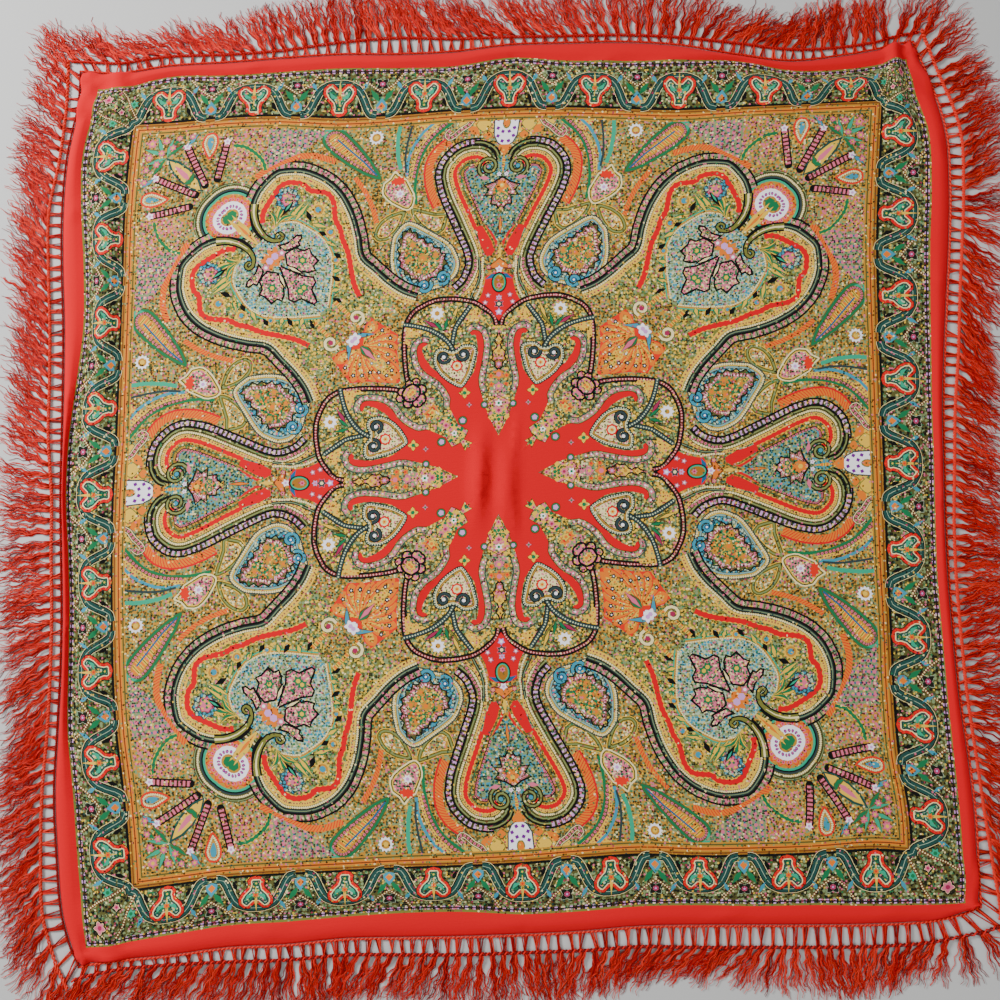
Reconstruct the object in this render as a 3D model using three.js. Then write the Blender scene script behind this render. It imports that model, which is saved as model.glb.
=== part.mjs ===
// A square printed shawl with a knotted fringe, laid flat on the floor.
// Units are millimetres, with Z up and the underside of the cloth on Z = 0.
// The cloth is worked out from its flat cut: u runs to the right and v away from
// the viewer, both from the middle of the square, and the tables below say how far
// each stretch of its edge was pulled in or out as it was laid.
import * as THREE from "three";

// The flat cut, each size measured from the middle of the square
const CUT = 500; // the edge of the hem
const PRINT = 470; // the edge of the print, where the plain hem starts
const FRAME = 412; // the gold line round the field
const RINGS = [-CUT, -PRINT, -FRAME, FRAME, PRINT, CUT];

// The cloth wall
const WALL = 1.5;
const SEAM_GAP = 0.35; // between the cloth's edge and the fringe's band
const FIELD_CELLS = 24;
const BORDER_CELLS = 2;
const HEM_CELLS = 3;
const FOLD_LINES = [-36, -22, -8, 10, 24]; // extra lines for the folds in the middle
const BORDER_RISE = 0.22; // ridge height against the square root of width times slack
const HEM_RISE = 0.25;

// The fringe
const RUNGS = 60; // on each side
const BAND = 3.2; // the stitched band along the hem
const RUNG = 3.6; // width of one bundle of threads
const CHAIN = 4.6; // the second row of stitches
const LEAST_GAP = 2.5; // where the two rows lie closer, no gap shows between them
const FRINGE_LIFT = 0.3;
const FRINGE_WALL = 1.4;
const LOCK_ROOT = 5.2;
const LOCK_BODY = 8.6;
const LOCK_TIP = 6.0;
const LOCK_SHARE = 0.62; // most that a lock takes of the room it has
const CORNER_TURN = 46; // length over which the fringe turns to the corner's diagonal
const EDGE_SPAN = 12; // half the stretch of edge that a rung stands square to
const END_GAP = 1.6; // kept free at each end, so that two fringes don't meet

// Where the four corners of the gold line lie
const LAID = {
  nearLeft: [-388, -416],
  nearRight: [436, -376],
  farRight: [435, 456],
  farLeft: [-413, 426],
};
const SAG = 6; // the middle of the field lies this much nearer than its corners say

// How each side lies, at even steps from one corner to the next.
// frame, print and hem say how far that line lies outside its flat place,
// chain is the second row of stitches outside the hem,
// and the locks of the fringe lean, bend (degrees) and reach as said.
const COLUMNS = ["along", "frame", "print", "hem", "chain", "lean", "bend", "reach"];
const FAR_SIDE = table([
  [-500.0, 3, -13, -23, 13, -45, 0, 58],
  [-437.5, 1, -16, -27, 13, -46, 0, 56],
  [-375.0, 1, -3, -20, 12, -48, -8, 50],
  [-312.5, 5, -4, -18, 10, -44, -8, 50],
  [-250.0, 5, -2, -15, 10, -22, 0, 56],
  [-187.5, 0, 0, -13, 15, -6, 0, 60],
  [-125.0, 1, -2, -15, 20, -16, 0, 62],
  [-62.5, 4, -2, -14, 16, -28, 0, 62],
  [0.0, 5, 6, -8, 10, -36, 8, 62],
  [62.5, 4, 0, -8, 9, -38, 14, 60],
  [125.0, 0, -3, -9, 9, -14, 0, 60],
  [187.5, -4, -4, -15, 10, 8, 0, 58],
  [250.0, -3, -6, -28, 14, 36, 16, 52],
  [312.5, -2, -20, -38, 14, 26, 8, 54],
  [375.0, -1, -21, -33, 10, 14, 2, 60],
  [437.5, -1, -14, -24, 9, -2, 0, 50],
  [500.0, -3, -13, -23, 10, 0, 0, 56],
]);
const NEAR_SIDE = table([
  [-500.0, -4, -4, -17, 11, -45, 0, 56],
  [-437.5, -1, -6, -19, 10, -44, 0, 50],
  [-375.0, -5, -13, -21, 10, -42, -6, 50],
  [-312.5, -10, -20, -26, 15, -34, 0, 52],
  [-250.0, -11, -21, -26, 16, -6, 0, 54],
  [-187.5, -11, -23, -29, 17, -12, 0, 54],
  [-125.0, -11, -24, -27, 18, -26, -8, 52],
  [-62.5, -10, -22, -25, 19, -14, 0, 54],
  [0.0, -10, -16, -24, 19, 8, 8, 56],
  [62.5, -12, -16, -24, 20, -12, -8, 54],
  [125.0, -13, -18, -26, 21, -32, -10, 48],
  [187.5, -8, -16, -24, 23, -46, -8, 46],
  [250.0, -6, -12, -21, 23, -34, 0, 46],
  [312.5, -5, -10, -18, 23, 8, 10, 52],
  [375.0, -6, -6, -16, 23, -12, 0, 52],
  [437.5, 1, -4, -17, 22, -34, 0, 46],
  [500.0, 4, -2, -28, 20, -20, 0, 54],
]);
const LEFT_SIDE = table([
  [-500.0, 3, -10, -30, 18, -42, 0, 58],
  [-437.5, 1, -5, -12, 21, -40, 0, 58],
  [-375.0, 4, 1, -6, 18, -36, 0, 60],
  [-312.5, 10, 6, -3, 14, -26, -6, 62],
  [-250.0, 18, 13, -6, 12, -42, 0, 62],
  [-187.5, 22, 13, -9, 12, -34, -6, 62],
  [-125.0, 23, 12, -10, 12, -8, -14, 62],
  [-62.5, 23, 14, -9, 12, -10, -6, 60],
  [0.0, 22, 17, -8, 11, 8, 8, 60],
  [62.5, 19, 14, -9, 16, 28, 16, 60],
  [125.0, 17, 5, -10, 16, 38, 12, 60],
  [187.5, 15, -3, -10, 16, 44, 6, 60],
  [250.0, 13, -3, -8, 16, 46, 4, 60],
  [312.5, 11, 0, -8, 16, 42, 8, 58],
  [375.0, 6, 0, -13, 9, 22, 0, 58],
  [437.5, -1, -14, -25, 14, 38, 0, 56],
  [500.0, -3, -21, -29, 16, 42, 0, 58],
]);
const RIGHT_SIDE = table([
  [-500.0, 0, -2, -16, 16, -45, 0, 60],
  [-437.5, 0, -2, -16, 17, -46, 0, 58],
  [-375.0, -1, -4, -17, 11, -50, 0, 58],
  [-312.5, -10, -8, -22, 9, -40, 0, 60],
  [-250.0, -13, -12, -29, 9, -10, 0, 62],
  [-187.5, -14, -15, -33, 9, 16, 0, 62],
  [-125.0, -15, -18, -36, 9, 2, -8, 62],
  [-62.5, -15, -18, -37, 10, -12, -12, 64],
  [0.0, -15, -17, -36, 12, -24, -8, 64],
  [62.5, -15, -17, -35, 14, -32, -6, 64],
  [125.0, -15, -16, -31, 16, -36, -6, 64],
  [187.5, -15, -15, -26, 15, -42, -4, 62],
  [250.0, -14, -13, -21, 15, -36, 0, 60],
  [312.5, -10, -9, -18, 16, 26, 0, 60],
  [375.0, -5, -10, -20, 17, 24, 0, 60],
  [437.5, 0, -28, -36, 14, 4, 0, 60],
  [500.0, 0, -33, -54, 13, 4, 0, 62],
]);

// The largest folds that stand up from the floor, each a soft ridge from one point
// of the flat cut to another
const FOLDS = [
  { from: [-24, -75], to: [-18, 70], width: 30, height: 6.5 },
  { from: [8, -90], to: [12, 55], width: 32, height: 5.5 },
  { from: [-300, 330], to: [-405, 405], width: 60, height: 4 },
  { from: [405, 330], to: [300, 405], width: 60, height: 5 },
  { from: [-405, 60], to: [-400, -200], width: 50, height: 3 },
  { from: [-330, -400], to: [-120, -380], width: 60, height: 3 },
  { from: [200, 385], to: [330, 400], width: 50, height: 4 },
  { from: [395, -250], to: [400, -90], width: 50, height: 3 },
];

const SIDES = {
  far: { rows: FAR_SIDE, place: (t) => [t, CUT], turn: 1, before: "left", after: "right" },
  near: { rows: NEAR_SIDE, place: (t) => [t, -CUT], turn: -1, before: "left", after: "right" },
  left: { rows: LEFT_SIDE, place: (t) => [-CUT, t], turn: 1, before: "near", after: "far" },
  right: { rows: RIGHT_SIDE, place: (t) => [CUT, t], turn: -1, before: "near", after: "far" },
};

function table(lines) {
  return lines.map((line) => Object.fromEntries(COLUMNS.map((name, i) => [name, line[i]])));
}

function mix(a, b, share) {
  return a + (b - a) * share;
}

function ease(share) {
  const s = Math.min(1, Math.max(0, share));
  return s * s * (3 - 2 * s);
}

// One column of a side's table at any place along it, on a curve through its rows.
function read(rows, name, along) {
  const step = rows[1].along - rows[0].along;
  const last = rows.length - 1;
  const at = Math.min(last, Math.max(0, (along - rows[0].along) / step));
  const i = Math.min(last - 1, Math.floor(at));
  const s = at - i;
  const [a, b, c, d] = [i - 1, i, i + 1, i + 2].map((k) => rows[Math.min(last, Math.max(0, k))][name]);
  const slopeB = (c - a) / 2;
  const slopeC = (d - b) / 2;
  const s2 = s * s;
  const s3 = s2 * s;
  return b * (2 * s3 - 3 * s2 + 1) + slopeB * (s3 - 2 * s2 + s) + c * (3 * s2 - 2 * s3) + slopeC * (s3 - s2);
}

// How far a line of the cloth lies off its flat place, between one side and the other.
function pull(place, along, lowRows, highRows) {
  const pulls = [
    -read(lowRows, "hem", along),
    -read(lowRows, "print", along),
    -read(lowRows, "frame", along),
    read(highRows, "frame", along),
    read(highRows, "print", along),
    read(highRows, "hem", along),
  ];
  let k = 0;
  while (k < RINGS.length - 2 && place > RINGS[k + 1]) k += 1;
  return mix(pulls[k], pulls[k + 1], (place - RINGS[k]) / (RINGS[k + 1] - RINGS[k]));
}

// Where a point of the flat cut lies on the floor.
function laid(u, v) {
  const s = (u + FRAME) / (2 * FRAME);
  const t = (v + FRAME) / (2 * FRAME);
  const corner = (axis) =>
    mix(mix(LAID.nearLeft[axis], LAID.nearRight[axis], s), mix(LAID.farLeft[axis], LAID.farRight[axis], s), t);
  const inside = Math.max(0, 1 - (u / FRAME) ** 2) * Math.max(0, 1 - (v / FRAME) ** 2);
  return [
    corner(0) + pull(u, v, LEFT_SIDE, RIGHT_SIDE),
    corner(1) + pull(v, u, NEAR_SIDE, FAR_SIDE) - SAG * inside,
  ];
}

// A ridge over one band of the edge, as high as the slack that it takes up.
function bandRise(rows, along, place, from, to, share) {
  const across = (place - from) / (to - from);
  if (across <= 0 || across >= 1) return 0;
  const names = from === FRAME ? ["frame", "print"] : ["print", "hem"];
  const slack = Math.max(0, read(rows, names[0], along) - read(rows, names[1], along));
  return share * Math.sqrt((to - from) * slack) * Math.sin(Math.PI * across) ** 2;
}

function foldRise(u, v, fold) {
  const [x0, y0] = fold.from;
  const [x1, y1] = fold.to;
  const length = Math.hypot(x1 - x0, y1 - y0);
  const along = ((u - x0) * (x1 - x0) + (v - y0) * (y1 - y0)) / length / length;
  const across = Math.abs((u - x0) * (y1 - y0) - (v - y0) * (x1 - x0)) / length;
  if (along <= 0 || along >= 1 || across >= fold.width / 2) return 0;
  return fold.height * Math.sin(Math.PI * along) ** 2 * Math.cos((Math.PI * across) / fold.width) ** 2;
}

// Height of the cloth's underside over the floor.
function rise(u, v) {
  const bands = [
    [FAR_SIDE, u, v],
    [NEAR_SIDE, u, -v],
    [RIGHT_SIDE, v, u],
    [LEFT_SIDE, v, -u],
  ];
  const edges = bands.map(
    ([rows, along, place]) =>
      bandRise(rows, along, place, FRAME, PRINT, BORDER_RISE) + bandRise(rows, along, place, PRINT, CUT, HEM_RISE),
  );
  const folds = FOLDS.map((fold) => foldRise(u, v, fold));
  return Math.max(...edges) + Math.max(...folds);
}

// The lines of the flat cut that the wall is made on.
function gridLines(extra) {
  const lines = new Set(extra);
  const spread = (from, to, cells) => {
    for (let i = 0; i <= cells; i += 1) lines.add(mix(from, to, i / cells));
  };
  spread(-CUT, -PRINT, HEM_CELLS);
  spread(-PRINT, -FRAME, BORDER_CELLS);
  spread(-FRAME, FRAME, FIELD_CELLS);
  spread(FRAME, PRINT, BORDER_CELLS);
  spread(PRINT, CUT, HEM_CELLS);
  return [...lines].sort((a, b) => a - b);
}

const U_LINES = gridLines(FOLD_LINES);
const V_LINES = gridLines([]);

// A closed wall over the grid: its underside follows the rise, and its top lies one
// thickness above, measured square to the slope.
function clothGeometry() {
  const columns = U_LINES.length;
  const rows = V_LINES.length;
  const points = [];
  for (const layer of ["under", "top"]) {
    for (const v of V_LINES) {
      for (const u of U_LINES) {
        const [x, y] = laid(u, v);
        const z = rise(u, v);
        points.push(x, y, layer === "under" ? z : z + WALL * steepness(u, v));
      }
    }
  }
  const faces = [];
  const at = (i, j, layer) => layer * columns * rows + j * columns + i;
  const quad = (a, b, c, d) => faces.push(a, b, c, a, c, d);
  for (let j = 0; j < rows - 1; j += 1) {
    for (let i = 0; i < columns - 1; i += 1) {
      quad(at(i, j, 1), at(i + 1, j, 1), at(i + 1, j + 1, 1), at(i, j + 1, 1));
      quad(at(i, j, 0), at(i, j + 1, 0), at(i + 1, j + 1, 0), at(i + 1, j, 0));
    }
  }
  for (let i = 0; i < columns - 1; i += 1) {
    quad(at(i, 0, 0), at(i + 1, 0, 0), at(i + 1, 0, 1), at(i, 0, 1));
    quad(at(i + 1, rows - 1, 0), at(i, rows - 1, 0), at(i, rows - 1, 1), at(i + 1, rows - 1, 1));
  }
  for (let j = 0; j < rows - 1; j += 1) {
    quad(at(0, j + 1, 0), at(0, j, 0), at(0, j, 1), at(0, j + 1, 1));
    quad(at(columns - 1, j, 0), at(columns - 1, j + 1, 0), at(columns - 1, j + 1, 1), at(columns - 1, j, 1));
  }
  const geometry = new THREE.BufferGeometry();
  geometry.setAttribute("position", new THREE.Float32BufferAttribute(points, 3));
  geometry.setIndex(faces);
  return geometry;
}

// How much taller than thick the wall stands on a slope.
function steepness(u, v) {
  const d = 1;
  const [x0, y0] = laid(u - d, v);
  const [x1, y1] = laid(u + d, v);
  const [x2, y2] = laid(u, v - d);
  const [x3, y3] = laid(u, v + d);
  const slopeU = (rise(u + d, v) - rise(u - d, v)) / Math.hypot(x1 - x0, y1 - y0);
  const slopeV = (rise(u, v + d) - rise(u, v - d)) / Math.hypot(x3 - x2, y3 - y2);
  return Math.min(3, Math.sqrt(1 + slopeU ** 2 + slopeV ** 2));
}

// The edge of the cloth as the wall has it: straight from one grid line to the next,
// and measured along the floor from its left or near end.
function edgePath(side) {
  const lines = side === "far" || side === "near" ? U_LINES : V_LINES;
  const corners = lines.map((along) => ({ along, point: laid(...SIDES[side].place(along)), reached: 0 }));
  for (let i = 1; i < corners.length; i += 1) {
    const [x0, y0] = corners[i - 1].point;
    const [x1, y1] = corners[i].point;
    corners[i].reached = corners[i - 1].reached + Math.hypot(x1 - x0, y1 - y0);
  }
  return corners;
}

const PATHS = Object.fromEntries(Object.keys(SIDES).map((side) => [side, edgePath(side)]));

function pathLength(side) {
  return PATHS[side].at(-1).reached;
}

// The point of the edge that is so far along it, and where the table has that point.
function edgeAt(side, reached) {
  const path = PATHS[side];
  let k = 0;
  while (k < path.length - 2 && reached > path[k + 1].reached) k += 1;
  const [a, b] = [path[k], path[k + 1]];
  const share = (reached - a.reached) / (b.reached - a.reached);
  return {
    x: mix(a.point[0], b.point[0], share),
    y: mix(a.point[1], b.point[1], share),
    along: mix(a.along, b.along, share),
  };
}

// The way out of the cloth, square to its edge.
function squareOut(side, reached) {
  const a = edgeAt(side, Math.max(0, reached - EDGE_SPAN));
  const b = edgeAt(side, Math.min(pathLength(side), reached + EDGE_SPAN));
  const length = Math.hypot(b.x - a.x, b.y - a.y);
  const turn = SIDES[side].turn;
  return [(-turn * (b.y - a.y)) / length, (turn * (b.x - a.x)) / length];
}

function cornerTurn(side, reached) {
  const left = Math.min(reached, pathLength(side) - reached);
  return ease((CORNER_TURN - left) / CORNER_TURN);
}

// The same, turning to the diagonal towards each corner, so that it stays one
// measure out from both sides there.
function wayOut(side, reached) {
  const here = squareOut(side, reached);
  const turned = cornerTurn(side, reached);
  if (turned === 0) return here;
  const atStart = reached < pathLength(side) / 2;
  const other = atStart ? SIDES[side].before : SIDES[side].after;
  const otherEnd = side === "far" || side === "right" ? pathLength(other) : 0;
  const a = squareOut(side, atStart ? 0 : pathLength(side));
  const b = squareOut(other, otherEnd);
  return [mix(here[0], a[0] + b[0], turned), mix(here[1], a[1] + b[1], turned)];
}

function outFrom(side, reached, distance) {
  const { x, y } = edgeAt(side, reached);
  const [dx, dy] = wayOut(side, reached);
  return new THREE.Vector2(x + dx * distance, y + dy * distance);
}

function column(side, name, reached) {
  return read(SIDES[side].rows, name, edgeAt(side, reached).along);
}

// Where the rungs of one side stand, evenly along its edge.
function rungPlaces(side) {
  const room = pathLength(side) - 2 * END_GAP;
  return Array.from({ length: RUNGS }, (_, i) => END_GAP + ((i + 0.5) * room) / RUNGS);
}

// The middle line of one lock, from its root on the chain to its tip.
function lockLine(side, reached) {
  const value = (name) => column(side, name, reached);
  const [dx, dy] = wayOut(side, reached);
  const start = Math.atan2(dy, dx);
  const sense = -SIDES[side].turn;
  const lean = value("lean") * (1 - cornerTurn(side, reached));
  const line = [{ point: outFrom(side, reached, value("chain") + CHAIN / 2), angle: start }];
  for (const turn of [lean + value("bend") * 0.3, lean + value("bend")]) {
    const angle = start + sense * THREE.MathUtils.degToRad(turn);
    const step = new THREE.Vector2(Math.cos(angle), Math.sin(angle)).multiplyScalar(value("reach") / 2);
    line.push({ point: line.at(-1).point.clone().add(step), angle });
  }
  return line;
}

// The two sides of one lock. It is never wider than its share of the room between
// its neighbours, so that all of them stand apart.
function lockOutline(side, reached) {
  const pitch = pathLength(side) / RUNGS;
  const line = lockLine(side, reached);
  const beside = [lockLine(side, reached - pitch), lockLine(side, reached + pitch)];
  const outer = column(side, "chain", reached) + CHAIN / 2;
  const low = [outFrom(side, reached - LOCK_ROOT / 2, outer)];
  const high = [outFrom(side, reached + LOCK_ROOT / 2, outer)];
  for (const k of [1, 2]) {
    const { point, angle } = line[k];
    const across = new THREE.Vector2(-Math.sin(angle), Math.cos(angle));
    const room = Math.min(...beside.map((other) => Math.abs(other[k].point.clone().sub(point).dot(across))));
    const width = Math.min(k === 1 ? LOCK_BODY : LOCK_TIP, LOCK_SHARE * room);
    const half = across.multiplyScalar((-SIDES[side].turn * width) / 2);
    low.push(point.clone().sub(half));
    high.push(point.clone().add(half));
  }
  return { low, high };
}

// The gaps between the rungs, where the two rows of stitches lie far enough apart.
function rungGaps(side) {
  const gaps = [];
  const inner = SEAM_GAP + BAND;
  const places = rungPlaces(side);
  for (let i = 0; i < places.length - 1; i += 1) {
    const a = places[i] + RUNG / 2;
    const b = places[i + 1] - RUNG / 2;
    const outerA = column(side, "chain", a) - CHAIN / 2;
    const outerB = column(side, "chain", b) - CHAIN / 2;
    if (Math.min(outerA, outerB) - inner < LEAST_GAP) continue;
    gaps.push([
      outFrom(side, a, inner),
      outFrom(side, b, inner),
      outFrom(side, b, outerB),
      outFrom(side, a, outerA),
    ]);
  }
  return gaps;
}

// One side's fringe: a stitched band, rungs, the second row of stitches and the
// locks, all cut from one thin sheet that lies beside the cloth.
function fringeGeometry(side) {
  const first = END_GAP;
  const last = pathLength(side) - END_GAP;
  const chainEdge = (reached) => outFrom(side, reached, column(side, "chain", reached) + CHAIN / 2);
  const turns = PATHS[side].map((corner) => corner.reached).filter((r) => r > first && r < last);
  const outline = [first, ...turns, last].map((reached) => outFrom(side, reached, SEAM_GAP));
  outline.push(chainEdge(last));
  for (const reached of rungPlaces(side).reverse()) {
    const { low, high } = lockOutline(side, reached);
    outline.push(...high, ...low.reverse());
  }
  outline.push(chainEdge(first));
  if (THREE.ShapeUtils.isClockWise(outline)) outline.reverse();
  const shape = new THREE.Shape(outline);
  shape.holes.push(...rungGaps(side).map((gap) => new THREE.Path(gap)));
  const geometry = new THREE.ExtrudeGeometry(shape, { depth: FRINGE_WALL, bevelEnabled: false });
  geometry.translate(0, 0, FRINGE_LIFT);
  return geometry;
}

const printedCloth = new THREE.MeshStandardMaterial({ color: 0x9a5a3a, roughness: 0.85 });
printedCloth.name = "printed_cloth";
const fringeThread = new THREE.MeshStandardMaterial({ color: 0xe0402c, roughness: 0.8 });
fringeThread.name = "fringe_thread";

const meshes = [
  { name: "cloth", geometry: clothGeometry(), material: printedCloth },
  { name: "fringe_far", geometry: fringeGeometry("far"), material: fringeThread },
  { name: "fringe_near", geometry: fringeGeometry("near"), material: fringeThread },
  { name: "fringe_left", geometry: fringeGeometry("left"), material: fringeThread },
  { name: "fringe_right", geometry: fringeGeometry("right"), material: fringeThread },
];

// The origin is the middle of the whole thing's outline, on the floor.
const box = new THREE.Box3();
for (const { geometry } of meshes) {
  geometry.computeBoundingBox();
  box.union(geometry.boundingBox);
}
const middle = box.getCenter(new THREE.Vector3());

const shawl = new THREE.Group();
shawl.name = "paisley_shawl";
for (const { name, geometry, material } of meshes) {
  geometry.translate(-middle.x, -middle.y, -box.min.z);
  const mesh = new THREE.Mesh(geometry, material);
  mesh.name = name;
  shawl.add(mesh);
}

export default shawl;
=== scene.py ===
"""A square printed shawl with a knotted fringe, laid flat on a pale floor.

The cloth is worked out from its flat cut, in millimetres: u runs to the right and
v away from the viewer, from the middle of the square. One eighth of the print is
drawn as outlines, turned into a mesh, and mirrored into the whole square.
"""
import math

import bpy
import numpy as np
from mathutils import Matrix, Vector
from mathutils.geometry import delaunay_2d_cdt


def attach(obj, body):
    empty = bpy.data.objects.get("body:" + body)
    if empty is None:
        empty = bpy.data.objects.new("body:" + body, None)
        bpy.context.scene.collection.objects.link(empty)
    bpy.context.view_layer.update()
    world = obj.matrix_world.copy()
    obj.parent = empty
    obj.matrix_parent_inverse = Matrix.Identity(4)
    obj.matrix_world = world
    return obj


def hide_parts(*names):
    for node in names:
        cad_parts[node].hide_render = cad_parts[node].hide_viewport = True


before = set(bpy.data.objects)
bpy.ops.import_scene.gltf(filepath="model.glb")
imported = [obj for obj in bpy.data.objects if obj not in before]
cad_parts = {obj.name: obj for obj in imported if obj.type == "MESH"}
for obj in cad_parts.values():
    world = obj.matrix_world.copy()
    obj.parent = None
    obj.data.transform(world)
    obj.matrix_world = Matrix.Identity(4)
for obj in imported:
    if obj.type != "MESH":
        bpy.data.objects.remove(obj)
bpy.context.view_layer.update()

MM = 0.001
rng = np.random.default_rng(20)

# The flat cut, each size measured from the middle of the square
CUT = 500.0  # the edge of the hem
PRINT = 470.0  # the edge of the print
FIELD = 412.0  # the gold line round the field
RINGS = np.array([-CUT, -PRINT, -FIELD, FIELD, PRINT, CUT])

# How it lies, as in the part's source. The corners and the columns frame, print, hem
# and chain come from points read along the photograph's edges, which a scratch script
# turned into these numbers. The columns lean, bend and reach were chosen.
CORNERS = {
    "near_left": (-388, -416),
    "near_right": (436, -376),
    "far_right": (435, 456),
    "far_left": (-413, 426),
}
DRIFT = (-1.0, -2.0)  # how far the print lies off, in the middle
MIDDLE = np.array([14.758453, 15.502808])  # of the laid shawl, where the origin is
BORDER_RISE = 0.22
HEM_RISE = 0.25
WALL = 1.5
STATIONS = np.linspace(-CUT, CUT, 17)


def side_table(**columns):
    return {name: np.array(values, dtype=float) for name, values in columns.items()}


FAR_SIDE = side_table(
    frame=[3, 1, 1, 5, 5, 0, 1, 4, 5, 4, 0, -4, -3, -2, -1, -1, -3],
    print=[-13, -16, -3, -4, -2, 0, -2, -2, 6, 0, -3, -4, -6, -20, -21, -14, -13],
    hem=[-23, -27, -20, -18, -15, -13, -15, -14, -8, -8, -9, -15, -28, -38, -33, -24, -23],
    chain=[13, 13, 12, 10, 10, 15, 20, 16, 10, 9, 9, 10, 14, 14, 10, 9, 10],
    lean=[-45, -46, -48, -44, -22, -6, -16, -28, -36, -38, -14, 8, 36, 26, 14, -2, 0],
    bend=[0, 0, -8, -8, 0, 0, 0, 0, 8, 14, 0, 0, 16, 8, 2, 0, 0],
    reach=[58, 56, 50, 50, 56, 60, 62, 62, 62, 60, 60, 58, 52, 54, 60, 50, 56],
)
NEAR_SIDE = side_table(
    frame=[-4, -1, -5, -10, -11, -11, -11, -10, -10, -12, -13, -8, -6, -5, -6, 1, 4],
    print=[-4, -6, -13, -20, -21, -23, -24, -22, -16, -16, -18, -16, -12, -10, -6, -4, -2],
    hem=[-17, -19, -21, -26, -26, -29, -27, -25, -24, -24, -26, -24, -21, -18, -16, -17, -28],
    chain=[11, 10, 10, 15, 16, 17, 18, 19, 19, 20, 21, 23, 23, 23, 23, 22, 20],
    lean=[-45, -44, -42, -34, -6, -12, -26, -14, 8, -12, -32, -46, -34, 8, -12, -34, -20],
    bend=[0, 0, -6, 0, 0, 0, -8, 0, 8, -8, -10, -8, 0, 10, 0, 0, 0],
    reach=[56, 50, 50, 52, 54, 54, 52, 54, 56, 54, 48, 46, 46, 52, 52, 46, 54],
)
LEFT_SIDE = side_table(
    frame=[3, 1, 4, 10, 18, 22, 23, 23, 22, 19, 17, 15, 13, 11, 6, -1, -3],
    print=[-10, -5, 1, 6, 13, 13, 12, 14, 17, 14, 5, -3, -3, 0, 0, -14, -21],
    hem=[-30, -12, -6, -3, -6, -9, -10, -9, -8, -9, -10, -10, -8, -8, -13, -25, -29],
    chain=[18, 21, 18, 14, 12, 12, 12, 12, 11, 16, 16, 16, 16, 16, 9, 14, 16],
    lean=[-42, -40, -36, -26, -42, -34, -8, -10, 8, 28, 38, 44, 46, 42, 22, 38, 42],
    bend=[0, 0, 0, -6, 0, -6, -14, -6, 8, 16, 12, 6, 4, 8, 0, 0, 0],
    reach=[58, 58, 60, 62, 62, 62, 62, 60, 60, 60, 60, 60, 60, 58, 58, 56, 58],
)
RIGHT_SIDE = side_table(
    frame=[0, 0, -1, -10, -13, -14, -15, -15, -15, -15, -15, -15, -14, -10, -5, 0, 0],
    print=[-2, -2, -4, -8, -12, -15, -18, -18, -17, -17, -16, -15, -13, -9, -10, -28, -33],
    hem=[-16, -16, -17, -22, -29, -33, -36, -37, -36, -35, -31, -26, -21, -18, -20, -36, -54],
    chain=[16, 17, 11, 9, 9, 9, 9, 10, 12, 14, 16, 15, 15, 16, 17, 14, 13],
    lean=[-45, -46, -50, -40, -10, 16, 2, -12, -24, -32, -36, -42, -36, 26, 24, 4, 4],
    bend=[0, 0, 0, 0, 0, 0, -8, -12, -8, -6, -6, -4, 0, 0, 0, 0, 0],
    reach=[60, 58, 58, 60, 62, 62, 62, 64, 64, 64, 64, 62, 60, 60, 60, 60, 62],
)

# The larger folds of the part's source: from, to, width and height
FOLDS = [
    ((-24, -75), (-18, 70), 30, 6.5),
    ((8, -90), (12, 55), 32, 5.5),
    ((-300, 330), (-405, 405), 60, 4),
    ((405, 330), (300, 405), 60, 5),
    ((-405, 60), (-400, -200), 50, 3),
    ((-330, -400), (-120, -380), 60, 3),
    ((200, 385), (330, 400), 50, 4),
    ((395, -250), (400, -90), 50, 3),
]

# Finer wrinkles than the part has, in the same columns
WRINKLES = [
    ((-22, -52), (-15, 34), 11, 2.4),
    ((16, 10), (22, 78), 10, 2.0),
    ((20, -80), (15, -18), 9, 1.6),
    ((-40, 40), (-4, 20), 12, 1.2),
    ((-120, -190), (-60, -60), 26, 1.4),
    ((90, 120), (210, 190), 30, 1.4),
    ((-260, 120), (-170, 20), 30, 1.5),
    ((150, -240), (300, -160), 34, 1.6),
    ((-60, 200), (80, 250), 30, 1.2),
    ((-330, -60), (-250, -180), 28, 1.5),
    ((240, 20), (330, 120), 26, 1.4),
    ((-200, -330), (-90, -270), 26, 1.5),
    ((40, -360), (170, -330), 24, 1.4),
    ((-360, 250), (-240, 330), 30, 1.8),
    ((290, 240), (380, 330), 28, 1.8),
    ((60, 455), (150, 492), 15, 2.2),
    ((120, 462), (260, 488), 13, 2.4),
    ((230, 455), (300, 480), 14, 1.8),
    ((-330, 470), (-250, 496), 14, 1.8),
    ((-170, 478), (-60, 494), 12, 1.4),
    ((-498, 300), (-462, 330), 16, 1.8),
    ((-496, 90), (-468, 130), 16, 1.6),
    ((-498, -160), (-460, -130), 18, 1.8),
    ((-470, -330), (-497, -280), 15, 1.6),
    ((468, 400), (490, 330), 14, 2.2),
    ((472, 180), (496, 220), 16, 1.6),
    ((466, -60), (498, -20), 18, 1.8),
    ((474, -280), (494, -330), 14, 1.6),
    ((-300, -496), (-240, -468), 15, 1.8),
    ((-60, -494), (20, -476), 13, 1.6),
    ((180, -496), (260, -470), 15, 1.8),
    ((360, -490), (420, -474), 14, 1.4),
]
ROLL = 0.9  # the hem's edge is turned under and a little thicker


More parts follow.
